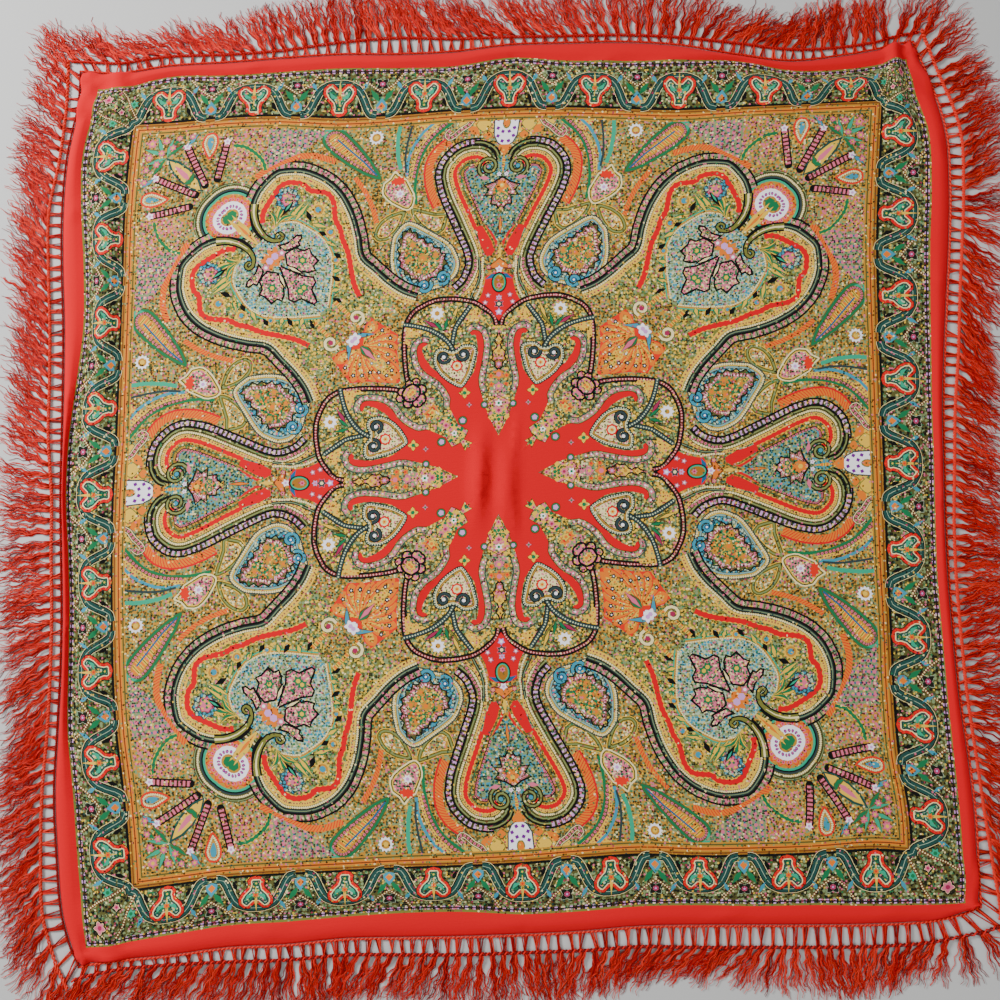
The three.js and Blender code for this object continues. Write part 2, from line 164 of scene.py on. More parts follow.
def read(values, along):
    """A table's column at any place along the side, on a curve through its rows."""
    last = len(STATIONS) - 1
    at = np.clip((along - STATIONS[0]) / (STATIONS[1] - STATIONS[0]), 0, last)
    i = np.minimum(last - 1, np.floor(at)).astype(int)
    s = at - i
    a, b, c, d = (values[np.clip(i + k, 0, last)] for k in (-1, 0, 1, 2))
    s2 = s * s
    s3 = s2 * s
    return (
        b * (2 * s3 - 3 * s2 + 1)
        + (c - a) / 2 * (s3 - 2 * s2 + s)
        + c * (3 * s2 - 2 * s3)
        + (d - b) / 2 * (s3 - s2)
    )


def pull(place, along, low, high):
    """How far a line of the cloth lies off its flat place, from one side to the other."""
    pulls = np.stack(
        [-read(low[name], along) for name in ("hem", "print", "frame")]
        + [read(high[name], along) for name in ("frame", "print", "hem")]
    )
    k = np.clip(np.searchsorted(RINGS, place, side="left") - 1, 0, 4)
    before = np.take_along_axis(pulls, k[None], 0)[0]
    after = np.take_along_axis(pulls, k[None] + 1, 0)[0]
    return before + (after - before) * (place - RINGS[k]) / (RINGS[k + 1] - RINGS[k])


def laid(u, v):
    """Where points of the flat cut lie on the floor, in millimetres."""
    s = (u + FIELD) / (2 * FIELD)
    t = (v + FIELD) / (2 * FIELD)
    inside = np.maximum(0, 1 - (u / FIELD) ** 2) * np.maximum(0, 1 - (v / FIELD) ** 2)
    corner = [
        (CORNERS["near_left"][axis] * (1 - s) + CORNERS["near_right"][axis] * s) * (1 - t)
        + (CORNERS["far_left"][axis] * (1 - s) + CORNERS["far_right"][axis] * s) * t
        for axis in (0, 1)
    ]
    x = corner[0] + pull(u, v, LEFT_SIDE, RIGHT_SIDE) + DRIFT[0] * inside
    y = corner[1] + pull(v, u, NEAR_SIDE, FAR_SIDE) + DRIFT[1] * inside
    return x - MIDDLE[0], y - MIDDLE[1]


def band_rise(rows, along, place, low, high, share):
    across = np.clip((place - low) / (high - low), 0, 1)
    names = ("frame", "print") if low == FIELD else ("print", "hem")
    slack = np.maximum(0, read(rows[names[0]], along) - read(rows[names[1]], along))
    return share * np.sqrt((high - low) * slack) * np.sin(np.pi * across) ** 2


def ridge(u, v, start, end, width, height):
    """A soft fold from one point of the flat cut to another."""
    du, dv = end[0] - start[0], end[1] - start[1]
    length = math.hypot(du, dv)
    along = np.clip(((u - start[0]) * du + (v - start[1]) * dv) / length**2, 0, 1)
    across = np.abs((u - start[0]) * dv - (v - start[1]) * du) / length
    across = np.minimum(across, width / 2)
    return height * np.sin(np.pi * along) ** 2 * np.cos(np.pi * across / width) ** 2


def rise(u, v, wrinkled=True):
    """Height of the cloth's underside over the floor."""
    edges = np.max(
        [
            band_rise(rows, along, place, FIELD, PRINT, BORDER_RISE)
            + band_rise(rows, along, place, PRINT, CUT, HEM_RISE)
            for rows, along, place in (
                (FAR_SIDE, u, v),
                (NEAR_SIDE, u, -v),
                (RIGHT_SIDE, v, u),
                (LEFT_SIDE, v, -u),
            )
        ],
        axis=0,
    )
    folds = np.max([ridge(u, v, *fold) for fold in FOLDS], axis=0)
    if not wrinkled:
        return edges + folds
    return edges + folds + np.sum([ridge(u, v, *wrinkle) for wrinkle in WRINKLES], axis=0)


# Dyes, as the shader wants them. Some were fitted by a scratch script to small spots
# read off the photograph, and others were set or changed by hand.
DYES = {
    "black": (0.003, 0.003, 0.003),
    "dark": (0.010, 0.010, 0.005),
    "cream": (0.84, 0.70, 0.34),
    "white": (0.92, 0.88, 0.92),
    "pale": (0.40, 0.52, 0.36),
    "lilac": (0.60, 0.30, 0.62),
    "pink": (0.66, 0.13, 0.22),
    "rose": (0.32, 0.020, 0.075),
    "red": (0.62, 0.0003, 0.008),
    "scarlet": (0.68, 0.022, 0.008),
    "orange": (0.72, 0.17, 0.012),
    "ochre": (0.48, 0.225, 0.024),
    "gold": (0.33, 0.13, 0.014),
    "yellow": (0.75, 0.46, 0.045),
    "olive": (0.085, 0.080, 0.020),
    "moss": (0.165, 0.165, 0.032),
    "sage": (0.20, 0.27, 0.12),
    "green": (0.012, 0.155, 0.055),
    "turquoise": (0.020, 0.34, 0.19),
    "teal": (0.014, 0.060, 0.050),
    "slate": (0.026, 0.045, 0.048),
    "sky": (0.040, 0.26, 0.36),
    "blue": (0.014, 0.105, 0.22),
    "brown": (0.118, 0.030, 0.010),
    "violet": (0.15, 0.010, 0.22),
}


# What fills an outline: a pattern, its ground and two more dyes, the length of one
# repeat, the size of its mark, and how much it is flecked with other dyes.
PLAIN, BEADS, BLOCKS, SCALLOPS, LINES, BLOSSOMS, FLORETS, ROUND, LATTICE, OBLIQUE, VEINS = range(11)
STYLES = {
    "hem": (PLAIN, "red", "red", "red", 4, 0, 0),
    "red": (PLAIN, "red", "red", "red", 4, 0, 0),
    "blocks": (BLOCKS, "sage", "pink", "black", 7.0, 0.2, 1.0),
    "cream beads": (BEADS, "olive", "cream", "cream", 2.6, 1.2, 0.1),
    "slate beads": (BEADS, "slate", "pale", "cream", 3.0, 0.9, 0),
    "buff beads": (BEADS, "brown", "cream", "cream", 3.0, 0.9, 0),
    "rose beads": (BEADS, "olive", "pink", "rose", 4.4, 1.5, 0.2),
    "bar beads": (BLOCKS, "brown", "pink", "dark", 4.6, 0.27, 0.4),
    "yellow dots": (BEADS, "yellow", "rose", "green", 3.6, 0.9, 0.5),
    "yellow dash": (BLOCKS, "yellow", "orange", "olive", 6.0, 0.2, 0.2),
    "teeth": (SCALLOPS, "olive", "ochre", "green", 4.6, 0.8, 0.9),
    "ladder": (OBLIQUE, "orange", "red", "red", 3.4, 0.28, 0.1),
    "olive stripes": (LINES, "moss", "dark", "sage", 8, 0.7, 0.3),
    "slate stripes": (LINES, "slate", "dark", "sage", 8, 0.8, 0.25),
    "pale stripes": (LINES, "pale", "slate", "sky", 8, 0.7, 0.3),
    "field": (FLORETS, "ochre", "sage", "olive", 3.4, 0.42, 1.0),
    "shell": (FLORETS, "ochre", "sage", "cream", 3.4, 0.42, 1.0),
    "pink florets": (FLORETS, "pink", "green", "yellow", 4.0, 0.36, 0.5),
    "blossom field": (FLORETS, "sage", "pink", "yellow", 3.8, 0.42, 1.0),
    "blossom row": (BLOSSOMS, "sage", "pink", "white", 6.4, 2.7, 0.9),
    "lobe field": (FLORETS, "olive", "yellow", "sage", 3.4, 0.44, 1.0),
    "teal field": (FLORETS, "sage", "teal", "sky", 3.0, 0.42, 0.8),
    "light blue field": (FLORETS, "pale", "sky", "sage", 3.0, 0.46, 0.9),
    "leaf heart": (FLORETS, "green", "yellow", "orange", 3.6, 0.42, 1.0),
    "petal": (FLORETS, "pink", "cream", "green", 3.2, 0.36, 0.9),
    "spear": (FLORETS, "yellow", "green", "pink", 4.0, 0.44, 0.8),
    "scallop field": (FLORETS, "ochre", "sage", "pink", 3.6, 0.42, 1.0),
    "lattice": (LATTICE, "sage", "pink", "blue", 6.0, 0.34, 1.0),
    "white cup": (BEADS, "white", "lilac", "lilac", 4.0, 0.0, 0),
    "white cup dots": (BEADS, "white", "violet", "pink", 5.2, 1.9, 0),
    "green scallops": (SCALLOPS, "green", "yellow", "green", 6.0, 0.4, 0.3),
    "edge blocks": (BLOCKS, "dark", "lilac", "brown", 8.0, 0.2, 1.0),
    "border": (FLORETS, "olive", "dark", "sage", 4.2, 0.40, 0.8),
    "side blocks": (BLOCKS, "olive", "lilac", "dark", 5.4, 0.24, 1.0),
    "frame beads": (BEADS, "brown", "pink", "cream", 3.4, 1.1, 0.5),
    "rosette beads": (BEADS, "orange", "pink", "red", 5.6, 2.0, 0.2),
    "crest red": (SCALLOPS, "red", "yellow", "red", 6.0, 0.26, 0.1),
    "petal row": (BLOSSOMS, "olive", "pink", "white", 5.0, 2.2, 0.8),
    "cloud": (FLORETS, "slate", "sky", "pale", 3.2, 0.46, 0.5),
    "knot": (FLORETS, "ochre", "pink", "brown", 3.6, 0.4, 0.6),
    "cream dots": (FLORETS, "cream", "pink", "moss", 3.0, 0.30, 0.5),
    "yellow dots field": (FLORETS, "yellow", "orange", "rose", 3.6, 0.22, 0.5),
    "palmette petal": (FLORETS, "yellow", "orange", "ochre", 3.0, 0.3, 0.7),
    "heart field": (FLORETS, "moss", "yellow", "sage", 4.0, 0.42, 1.0),
    "border heart": (FLORETS, "green", "pale", "teal", 3.0, 0.42, 0.8),
    "border red": (SCALLOPS, "red", "scarlet", "orange", 5.0, 0.4, 0.35),
    "wave": (LINES, "teal", "dark", "pale", 8, 0.5, 0.3),
    "gold field": (FLORETS, "yellow", "orange", "rose", 3.6, 0.30, 0.5),
    "back": (FLORETS, "moss", "ochre", "rose", 9.0, 0.4, 0.3),
}
PLAIN_FLECKS = {
    "olive": 0.4,
    "moss": 0.5,
    "ochre": 0.5,
    "teal": 0.3,
    "sky": 0.3,
    "yellow": 0.2,
    "orange": 0.3,
    "pale": 0.3,
    "gold": 0.3,
}
for name in DYES:
    STYLES.setdefault(name, (PLAIN, name, name, name, 4, 0, PLAIN_FLECKS.get(name, 0)))

# The drawing: one eighth of the print, as outlines from the lowest to the highest.
# Each point is (out, across): out from the middle along the axis that points away
# from the viewer, and across from that axis towards the diagonal. Inside the gold
# lines most points were read by eye along the motifs in enlarged views of the
# photograph, and scratch scripts turned the readings into these millimetres.
POINT_STEP = 2.6  # from point to point along a curve
GRID = 10.8  # how far apart the plain points of the mesh lie
UNDER_GRID = 25.0  # the same on the underside
UNDER_ROOM = 11.0  # the underside is as low as the cloth is within this distance
ROOM = 0.45  # how far an outline may stray when points are left out
HEM_STEP = 6.25  # from point to point along the cloth's edge
shapes = []


def curve(points, closed=False, step=POINT_STEP):
    """A smooth line through points."""
    p = np.array(points, dtype=float)
    count = len(p)
    out = []
    for i in range(count if closed else count - 1):
        k = [i - 1, i, i + 1, i + 2]
        k = [j % count for j in k] if closed else [min(max(j, 0), count - 1) for j in k]
        a, b, c, d = p[k]
        parts = max(1, int(round(np.linalg.norm(c - b) / step)))
        for s in np.arange(parts) / parts:
            out.append(
                b * (2 * s**3 - 3 * s**2 + 1)
                + (c - a) / 2 * (s**3 - 2 * s**2 + s)
                + c * (3 * s**2 - 2 * s**3)
                + (d - b) / 2 * (s**3 - s**2)
            )
    if not closed:
        out.append(p[-1])
    return np.array(out)


def beside(path, distance, closed=False):
    """The line that runs at a distance to the left of a path, without its loops."""
    if distance == 0:
        return path
    if closed:
        ahead = np.roll(path, -1, axis=0) - np.roll(path, 1, axis=0)
    else:
        ahead = np.gradient(path, axis=0)
    ahead /= np.linalg.norm(ahead, axis=1, keepdims=True)
    moved = path + np.stack([-ahead[:, 1], ahead[:, 0]], axis=1) * distance
    gaps = np.linalg.norm(moved[:, None] - path[None], axis=2).min(axis=1)
    return moved[gaps > abs(distance) * 0.93]


def fine(outline, step=12.0, closed=True):
    """The same outline, with no stretch longer than a step."""
    points = []
    ends = np.roll(outline, -1, axis=0) if closed else outline[1:]
    for a, b in zip(outline, ends):
        parts = max(1, int(math.ceil(np.linalg.norm(b - a) / step)))
        points += [a + (b - a) * k / parts for k in range(parts)]
    if not closed:
        points.append(outline[-1])
    return np.array(points)


def plainer(line, room=ROOM):
    """The same line without the points that it can do without."""
    if len(line) < 3:
        return line
    keep = {0, len(line) - 1}
    spans = [(0, len(line) - 1)]
    while spans:
        first, last = spans.pop()
        if last - first < 2:
            continue
        way = line[last] - line[first]
        away = line[first + 1 : last] - line[first]
        size = np.linalg.norm(way)
        if size > 1e-6:
            gaps = np.abs(way[0] * away[:, 1] - way[1] * away[:, 0]) / size
        else:
            gaps = np.linalg.norm(away, axis=1)
        worst = int(np.argmax(gaps))
        if gaps[worst] > room:
            middle = first + 1 + worst
            keep.add(middle)
            spans += [(first, middle), (middle, last)]
    return line[sorted(keep)]


def plainer_loop(outline):
    """A closed outline without the points that it can do without."""
    far = int(np.argmax(np.linalg.norm(outline - outline[0], axis=1)))
    one = plainer(outline[: far + 1])
    other = plainer(np.concatenate([outline[far:], outline[:1]]))
    return np.concatenate([one[:-1], other[:-1]])


def fill(outline, style, at=(0, 0), turn=0.0):
    """Fill an outline; its pattern is laid out from a place and at a turn in degrees."""
    outline = fine(plainer_loop(np.array(outline, dtype=float)))
    shapes.append({"outline": outline, "style": style, "at": at, "turn": turn, "guide": None})


def band(guide, near, far, style):
    """A strip between two distances to the left of a path, its pattern running along it."""
    edges = [fine(plainer(beside(guide, far_off)), closed=False) for far_off in (near, far)]
    outline = np.concatenate([edges[0], edges[1][::-1]])
    shapes.append(
        {
            "outline": outline,
            "style": style,
            "guide": guide,
            "closed": False,
            "middle": (near + far) / 2,
            "half": abs(far - near) / 2,
        }
    )


def bands(guide, layers, start=0.0):
    """Strips side by side, each a width and a style; returns where the last one ends."""
    for width, style in layers:
        if style:
            band(guide, start, start + width, style)
        start += width
    return start


def line(points, width, style, smooth=True):
    path = curve(points) if smooth else np.array(points, dtype=float)
    band(path, -width / 2, width / 2, style)


def rings(outline, layers, core, at=None, turn=0.0):
    """Closed strips one inside the other, from the outline inwards, and the core."""
    after = np.roll(outline, -1, axis=0)
    area = np.sum(outline[:, 0] * after[:, 1] - after[:, 0] * outline[:, 1])
    if area < 0:
        outline = outline[::-1]
    start = 0.0
    for width, style in layers:
        shapes.append(
            {
                "outline": fine(plainer_loop(beside(outline, start, closed=True))),
                "style": style,
                "guide": outline,
                "closed": True,
                "middle": start + width / 2,
                "half": width / 2,
            }
        )
        start += width
    if core:
        fill(beside(outline, start, closed=True), core, outline.mean(axis=0) if at is None else at, turn)


def blob(at, radius, petals=0, depth=0.25, turn=0.0, stretch=1.0, points=None):
    """A round or petalled outline."""
    count = points or max(10, petals * 4)
    angle = np.arange(count) * 2 * np.pi / count
    reach = radius * (1 - depth * (0.5 - 0.5 * np.cos(petals * angle)) if petals else 1.0 + 0 * angle)
    x, y = reach * np.cos(angle) * stretch, reach * np.sin(angle)
    t = math.radians(turn)
    out = at[0] + x * math.cos(t) - y * math.sin(t)
    across = at[1] + x * math.sin(t) + y * math.cos(t)
    return np.stack([out, across], axis=1)


def leaf(base, tip, width, style, bend=0.0):
    """A pointed leaf from its base to its tip, bulging to one side where it bends."""
    base, tip = np.array(base, float), np.array(tip, float)
    way = tip - base
    side = np.array([-way[1], way[0]]) / np.linalg.norm(way)
    length = np.linalg.norm(way)
    middle = base + way * 0.42 + side * bend * length
    edges = []
    for hand in (1, -1):
        shoulder = base + way * 0.8 + side * (bend * length * 0.6 + hand * width * 0.22)
        edges.append(curve([base, middle + hand * side * width / 2, shoulder, tip], step=3))
    outline = np.concatenate([edges[0], edges[1][::-1][1:-1]])
    fill(outline, style, base, math.degrees(math.atan2(way[1], way[0])))


def edged_leaf(base, tip, edge, style, widths):
    """A leaf over a wider one that shows as its edge."""
    leaf(base, tip, widths[0], edge)
    leaf(base, tip, widths[1], style)


def taper(path, first, last, style):
    """A strip along a path whose half width goes from one size to another."""
    ahead = np.gradient(path, axis=0)
    ahead /= np.linalg.norm(ahead, axis=1, keepdims=True)
    side = np.stack([-ahead[:, 1], ahead[:, 0]], axis=1) * np.linspace(first, last, len(path))[:, None]
    fill(np.concatenate([path + side, (path - side)[::-1]]), style, path[0], 0)


def round_petal(base, tip, width, style):
    """A petal with a round end."""
    base, tip = np.array(base, float), np.array(tip, float)
    way = tip - base
    side = np.array([-way[1], way[0]]) / np.linalg.norm(way)
    t = np.array([0.0, 0.25, 0.5, 0.72, 0.88, 0.97])
    half = np.array([0.03, 0.28, 0.46, 0.5, 0.36, 0.14]) * width
    one = base + way * t[:, None] + side * half[:, None]
    other = base + way * t[:, None] - side * half[:, None]
    outline = curve(np.concatenate([one, [tip], other[::-1]]), closed=True, step=3)
    fill(outline, style, base, math.degrees(math.atan2(way[1], way[0])))


def square_strip(near, far, style):
    """A strip round the whole square, between two distances from the middle."""
    guide = curve([(near, near + 6), (near, -6)], step=6)
    band(guide, near - far, 0, style)


def spiral(middle, start, turns, reach, end_reach, steps=12):
    """A path that winds in towards its middle; the start is an angle in degrees."""
    count = max(4, int(abs(turns) * steps))
    t = np.linspace(0, 1, count)
    angle = math.radians(start) + 2 * np.pi * turns * t
    radius = reach + (end_reach - reach) * t
    return np.stack([middle[0] + radius * np.cos(angle), middle[1] + radius * np.sin(angle)], axis=1)


def mirror_axis(points):
    """A shape's other half across the axis, to close it."""
    points = np.array(points, dtype=float)
    return np.concatenate([points, (points * [1, -1])[::-1]])


def mirror_diagonal(points):
    points = np.array(points, dtype=float)
    return np.concatenate([points, points[::-1, ::-1]])


def jagged(points, depth, pitch, closed=True):
    """A line whose teeth stick out to its left."""
    path = curve(points, closed=closed, step=1.0)
    ahead = np.gradient(path, axis=0)
    ahead /= np.linalg.norm(ahead, axis=1, keepdims=True)
    left = np.stack([-ahead[:, 1], ahead[:, 0]], axis=1)
    steps = np.linalg.norm(np.diff(path, axis=0), axis=1)
    reached = np.concatenate([[0], np.cumsum(steps)])
    count = max(2, int(round(reached[-1] / pitch)))
    marks = np.linspace(0, reached[-1], 2 * count + 1)
    out = []
    for k, mark in enumerate(marks[:-1] if closed else marks):
        i = min(len(path) - 1, int(np.searchsorted(reached, mark)))
        out.append(path[i] + left[i] * (depth if k % 2 else 0))
    return np.array(out)


def flower(at, radius, petals, petal, heart, turn=0.0, rim="black", rim_width=0.7, depth=0.4):
    """A small flower: a dark rim, petals and a heart."""
    if rim:
        fill(blob(at, radius + rim_width, petals, depth, turn), rim, at)
    fill(blob(at, radius, petals, depth, turn), petal, at)
    fill(blob(at, radius * 0.38, points=6), heart, at)


# The plain hem, the border's ground, and the field's ground
fill([(-6, -6), (512, -6), (512, 512), (-6, 512)], "hem")
fill([(-6, -6), (PRINT, -6), (PRINT, PRINT), (-6, PRINT)], "border")
fill([(-6, -6), (400, -6), (400, 400), (-6, 400)], "field")

fill([(411, -2), (411, 57), (403, 52), (398, 42), (389, 37), (384, 24), (380, -2)], "gold field")
fill([(411, 72), (411, 104), (392, 92), (372, 84), (385, 78), (398, 75)], "gold field")
# Between the two hearts: stripes, a ladder, a rosette, a long drop, a cartouche and shells
band(
    curve([(401.5, 61), (392.5, 72.5), (382.5, 83), (369, 90.5), (351.5, 96), (328, 97.5), (308.5, 95)]),
    0,
    3.2,
    "green",
)
band(curve([(403, 66.5), (391, 79.5), (375, 91.5), (357.5, 97.5), (339.5, 100.5)]), 0, 4, "rose beads")
band(curve([(403, 73.5), (390, 86.5), (372.5, 97), (354.5, 102), (337, 104)]), 0, 3.6, "yellow dots")
band(curve([(403.5, 78), (392, 91), (375.5, 101), (358, 106), (341.5, 105.5)]), -1.6, 1.6, "sky")
band(curve([(403, 104), (380, 108), (362, 109), (346, 107)]), -1.2, 1.2, "slate")
band(curve([(404, 117.5), (386, 119), (364, 117), (350, 113)]), -2.2, 2.2, "turquoise")
CRESCENT = curve([(379, 61), (369, 73.5), (357, 80.5), (343.5, 82), (329, 80), (315.5, 75.5), (304, 70)])
band(CRESCENT, -4.2, 4.6, "ladder")
band(CRESCENT, -5.6, -3.6, "red")
flower((389, 143), 8.5, 12, "white", "yellow", rim="moss", depth=0.25)
fill(blob((389, 143), 5.0, points=10), "ochre", (389, 143))
fill(blob((389, 143), 2.6, points=8), "yellow", (389, 143))
CLUB = curve(
    [
        (340, 133), (357, 141), (378, 157), (398, 177), (403, 190), (397, 201), (385, 203), (372, 192),
        (356, 170), (343, 148),
    ],
    closed=True,
)
rings(
    CLUB,
    [(1.0, "olive"), (2.6, "green"), (1.0, "olive"), (2.8, "rose beads"), (1.6, "ochre")],
    "yellow dash",
    at=(341, 135),
    turn=39,
)
line([(345, 139), (362, 155), (389, 186)], 1.8, "blue")
fill(
    curve([(388, 200), (399, 201), (404, 190), (398, 177), (401, 189), (396, 197)], closed=True),
    "turquoise",
)
for shell, core_turn in (
    (
        [
            (296.5, 58), (298, 71.5), (302.5, 85.5), (305.5, 99.5), (292.5, 97), (279, 86),
            (271, 72.5), (274.5, 62.5), (283.5, 58.5),
        ],
        20,
    ),
    (
        [
            (303, 104), (301, 118), (296, 128), (288, 136), (276, 140), (268, 134), (269, 122),
            (278, 112), (290, 106),
        ],
        70,
    ),
):
    rings(
        curve(shell, closed=True),
        [(0.8, "yellow"), (4.2, "olive stripes"), (0.9, "yellow")],
        "shell",
        turn=core_turn,
    )
CARTOUCHE = curve(
    [
        (349, 119), (341, 124), (335, 131), (324, 132), (316, 127), (309, 118), (302, 104), (306, 97),
        (318, 95), (328, 100), (338, 105), (343, 113),
    ],
    closed=True,
)
rings(CARTOUCHE, [(1.6, "cream"), (1.4, "olive"), (1.2, "yellow")], "petal")
fill(jagged([(343, 114), (336, 124), (331, 117), (333, 108), (338, 106)], 2.2, 5), "scarlet", (334, 114))
flower((322, 112), 5.5, 7, "white", "lilac", rim="orange")

# The medallion between the hearts
MEDALLION = curve(
    [
        (290, 101), (276, 117), (263, 120), (249, 121), (234, 119), (220, 112), (210, 102), (204, 92),
        (206, 82), (209, 72), (212, 60), (218, 52), (227, 45), (239, 43), (251, 47), (263, 55),
        (277, 76),
    ],
    closed=True,
)
rings(
    MEDALLION,
    [(1.2, "slate"), (2.6, "cream beads"), (1.0, "yellow"), (3.0, "pale stripes")],
    "cloud",
    turn=30,
)
LEAF = jagged(
    [
        (283, 99), (276, 110), (262, 113), (246, 113), (232, 108), (222, 97), (216, 84), (221, 70),
        (231, 59), (242, 56), (252, 60), (260, 68), (270, 84),
    ],
    3.4,
    10.5,
)
rings(LEAF, [(1.6, "black"), (4.4, "petal row")], "leaf heart", turn=30)
for at, size in (((262, 96), 5.5), ((246, 84), 6.5), ((244, 100), 5.0), ((231, 88), 5.0), ((249, 70), 5.0)):
    flower(at, size, 6, "ochre", "orange", rim="green")
for middle, start, turns in (((223, 62), 150, 1.3), ((215, 82), -60, -1.3)):
    path = spiral(middle, start, turns, 8.5, 1.5)
    band(path, -2.6, 2.6, "black")
    band(path, -1.7, 1.7, "sky")
    fill(blob(middle, 3.0, points=8), "blue")
    fill(blob(middle, 1.3, points=6), "white")

# The heart at the middle of each side
HEART_LAYERS = [
    (1.9, "black"),
    (3.4, "olive stripes"),
    (4.2, "cream beads"),
    (3.2, "yellow dots"),
    (5.6, "crest red"),
    (6.4, "teeth"),
    (1.0, "dark"),
    (2.0, "rose beads"),
]
HEART = curve(
    [
        (354.5, 6), (364, 10), (370, 16.5), (373.5, 25), (374, 36), (370.5, 49), (363, 58.5),
        (352.5, 66), (340.5, 68.5), (329, 66.5), (317, 62.5), (305.5, 57.5), (291, 50.5), (276.5, 44),
        (262, 37.5), (249, 32.5), (236, 31), (219, 37), (208, 48),
    ]
)
fill(np.concatenate([HEART[: len(HEART) * 4 // 5], [(266, -3), (366, -3)]]), "teal field", (340, 0))
start = bands(HEART, HEART_LAYERS[:4])
INNER = HEART[: int(len(HEART) * 0.72)]
bands(INNER, HEART_LAYERS[4:], start)
bands(HEART[12:], [(-5.0, "side blocks"), (-2.0, "black")])
band(HEART[2:15], 0, -3.2, "olive stripes")
band(HEART[2:15], -3.2, -4.6, "black")
path = spiral((347, 16), 175, -1.5, 12.5, 2.5, steps=14)
band(path, -2.6, 2.8, "black")
band(path, -1.8, 2.0, "olive stripes")
fill(blob((347, 16), 3.2, points=9), "black")
fill(blob((347, 16), 2.5, points=8), "sky")
fill(
    [
        (278.5, 28), (269.5, 24.5), (256.5, 21), (244.5, 14), (245, 9), (251.5, 5), (260.5, 2.5),
        (270.5, 8), (280, 16),
    ],
    "crest red",
)
line([(283, 20), (272, 14), (261.5, 7.5), (253, 5)], 3.0, "teeth")
fill(mirror_axis([(289, 0), (272.5, 8.5), (283.5, 19.5), (300, 0)]), "teal field", (340, 0))
leaf((268, 0), (292, 0), 5.0, "dark")
leaf((268, 0), (291, 0), 3.2, "orange")
HEART_LEAF = mirror_axis(
    [(336, 0), (330, 9), (326, 21), (320, 15), (313, 20), (313, 11), (303, 12.5), (302, 6), (293, 0)]
)
rings(HEART_LEAF, [(1.9, "black"), (3.0, "petal row")], "leaf heart")
flower((325, 0), 7.5, 5, "orange", "yellow", rim=None, turn=180)
flower((311, 4.5), 4.2, 5, "green", "yellow", rim="pink")
flower((317, 12), 3.2, 5, "pink", "white", rim="green")
flower((338, 4), 3.0, 5, "white", "lilac", rim="black")
leaf((333, 14), (335, 27), 5, "pink")
fill(mirror_axis([(408, 15), (395, 14), (383, 13.5), (374, 9), (370, 4), (369, 0)]), "slate")
fill(
    mirror_axis([(408, 6), (408, 13.6), (395, 12.8), (383, 12), (375, 8), (371, 3), (370.5, 0)]),
    "white cup",
    (386, 0),
)
for at in ((401, 9.5), (391, 9), (387, 3.5), (382, 8.5), (376, 3.5)):
    fill(blob(at, 2.5, 4, 0.4, 20), "violet", at)
fill(blob((397, 0), 4.6, stretch=1.5, points=12), "moss")
fill(blob((397, 0), 3.4, stretch=1.5, points=10), "orange")
fill(mirror_axis([(372, 6), (368, 7), (364, 4), (359, 0)]), "orange")
leaf((363, 0), (337, 0), 3.6, "yellow dash")
for at, size, style in (((396, 25), 8, "yellow"), ((383, 20), 5, "orange"), ((397, 47), 6, "yellow")):
    fill(blob(at, size + 1.2, 4, 0.2), "moss", at)
    fill(blob(at, size, 4, 0.2), style, at)
leaf((384, 28), (396, 44), 9, "orange")
path = curve([(402, 38), (396, 42), (391, 50), (385, 56), (382, 62), (387, 65), (391, 61)])
band(path, -3.6, 3.6, "slate")
band(path, -2.8, 2.8, "cream")
band(path, -2.0, 2.0, "rose beads")

# Where the corner heart's lobes meet: a rosette in a beaded ring
ROSETTE = (300, 295.5)
RINGS_OUT = blob(ROSETTE, 38.0, points=64)
rings(
    RINGS_OUT,
    [(2.6, "olive stripes"), (4.6, "cream beads"), (1.8, "slate"), (1.5, "black"), (2.6, "turquoise")],
    "ochre",
)
fill(blob(ROSETTE, 24.5, 15, 0.16), "scarlet", ROSETTE)
fill(blob(ROSETTE, 23.2, 15, 0.16), "orange", ROSETTE)
rings(blob(ROSETTE, 21.0, points=40), [(4.4, "rosette beads")], "white")
fill(blob(ROSETTE, 14.6, 12, 0.18), "white", ROSETTE)
rings(blob(ROSETTE, 13.8, points=30), [(5.8, "white cup dots")], "ochre")
fill(blob(ROSETTE, 6.0, 6, 0.2), "green", ROSETTE)
leaf(ROSETTE, (264, 264), 8, "yellow")
leaf((290, 290), (268, 268), 3.5, "orange")

# The corner heart, over the diagonal
CORNER = curve(
    [
        (207, 88), (214, 104), (226, 120), (240, 134), (254, 148), (275, 152), (297, 158), (313, 165),
        (329, 175), (343, 190), (351, 206), (355, 222), (354, 240), (351, 251), (340.5, 262),
        (326, 272), (307.5, 276.5), (287.5, 274.5), (274, 266), (266.5, 255.5), (263.5, 244),
    ]
)
CORNER_LAYERS = [
    (2.0, "black"),
    (4.4, "slate stripes"),
    (3.0, "cream beads"),
    (5.6, "yellow dots"),
]
fill(np.concatenate([CORNER[8:], [(250, 252), (190, 190), (180, 130)]]), "heart field", (260, 220))
bands(CORNER, [(width, style) for width, style in CORNER_LAYERS[:3]])
bands(CORNER[: int(len(CORNER) * 0.84)], CORNER_LAYERS[3:], 9.4)
bands(CORNER[: int(len(CORNER) * 0.80)], [(-5.4, "blocks"), (-2.0, "black")])
band(curve([(363, 186), (369, 207), (367, 228), (357, 252), (343, 272)]), -3.4, 3.4, "ladder")
band(curve([(344, 163), (328, 151), (310, 142), (290, 136)]), -2.6, 2.6, "ladder")
PETAL_GROUND = curve(
    [
        (288.5, 244), (291.5, 227), (284.5, 210.5), (272, 194), (254.5, 185.5), (232.5, 184.5),
        (210.5, 186.5), (196, 188.5),
    ]
)
fill(mirror_diagonal(PETAL_GROUND), "light blue field", (240, 230))
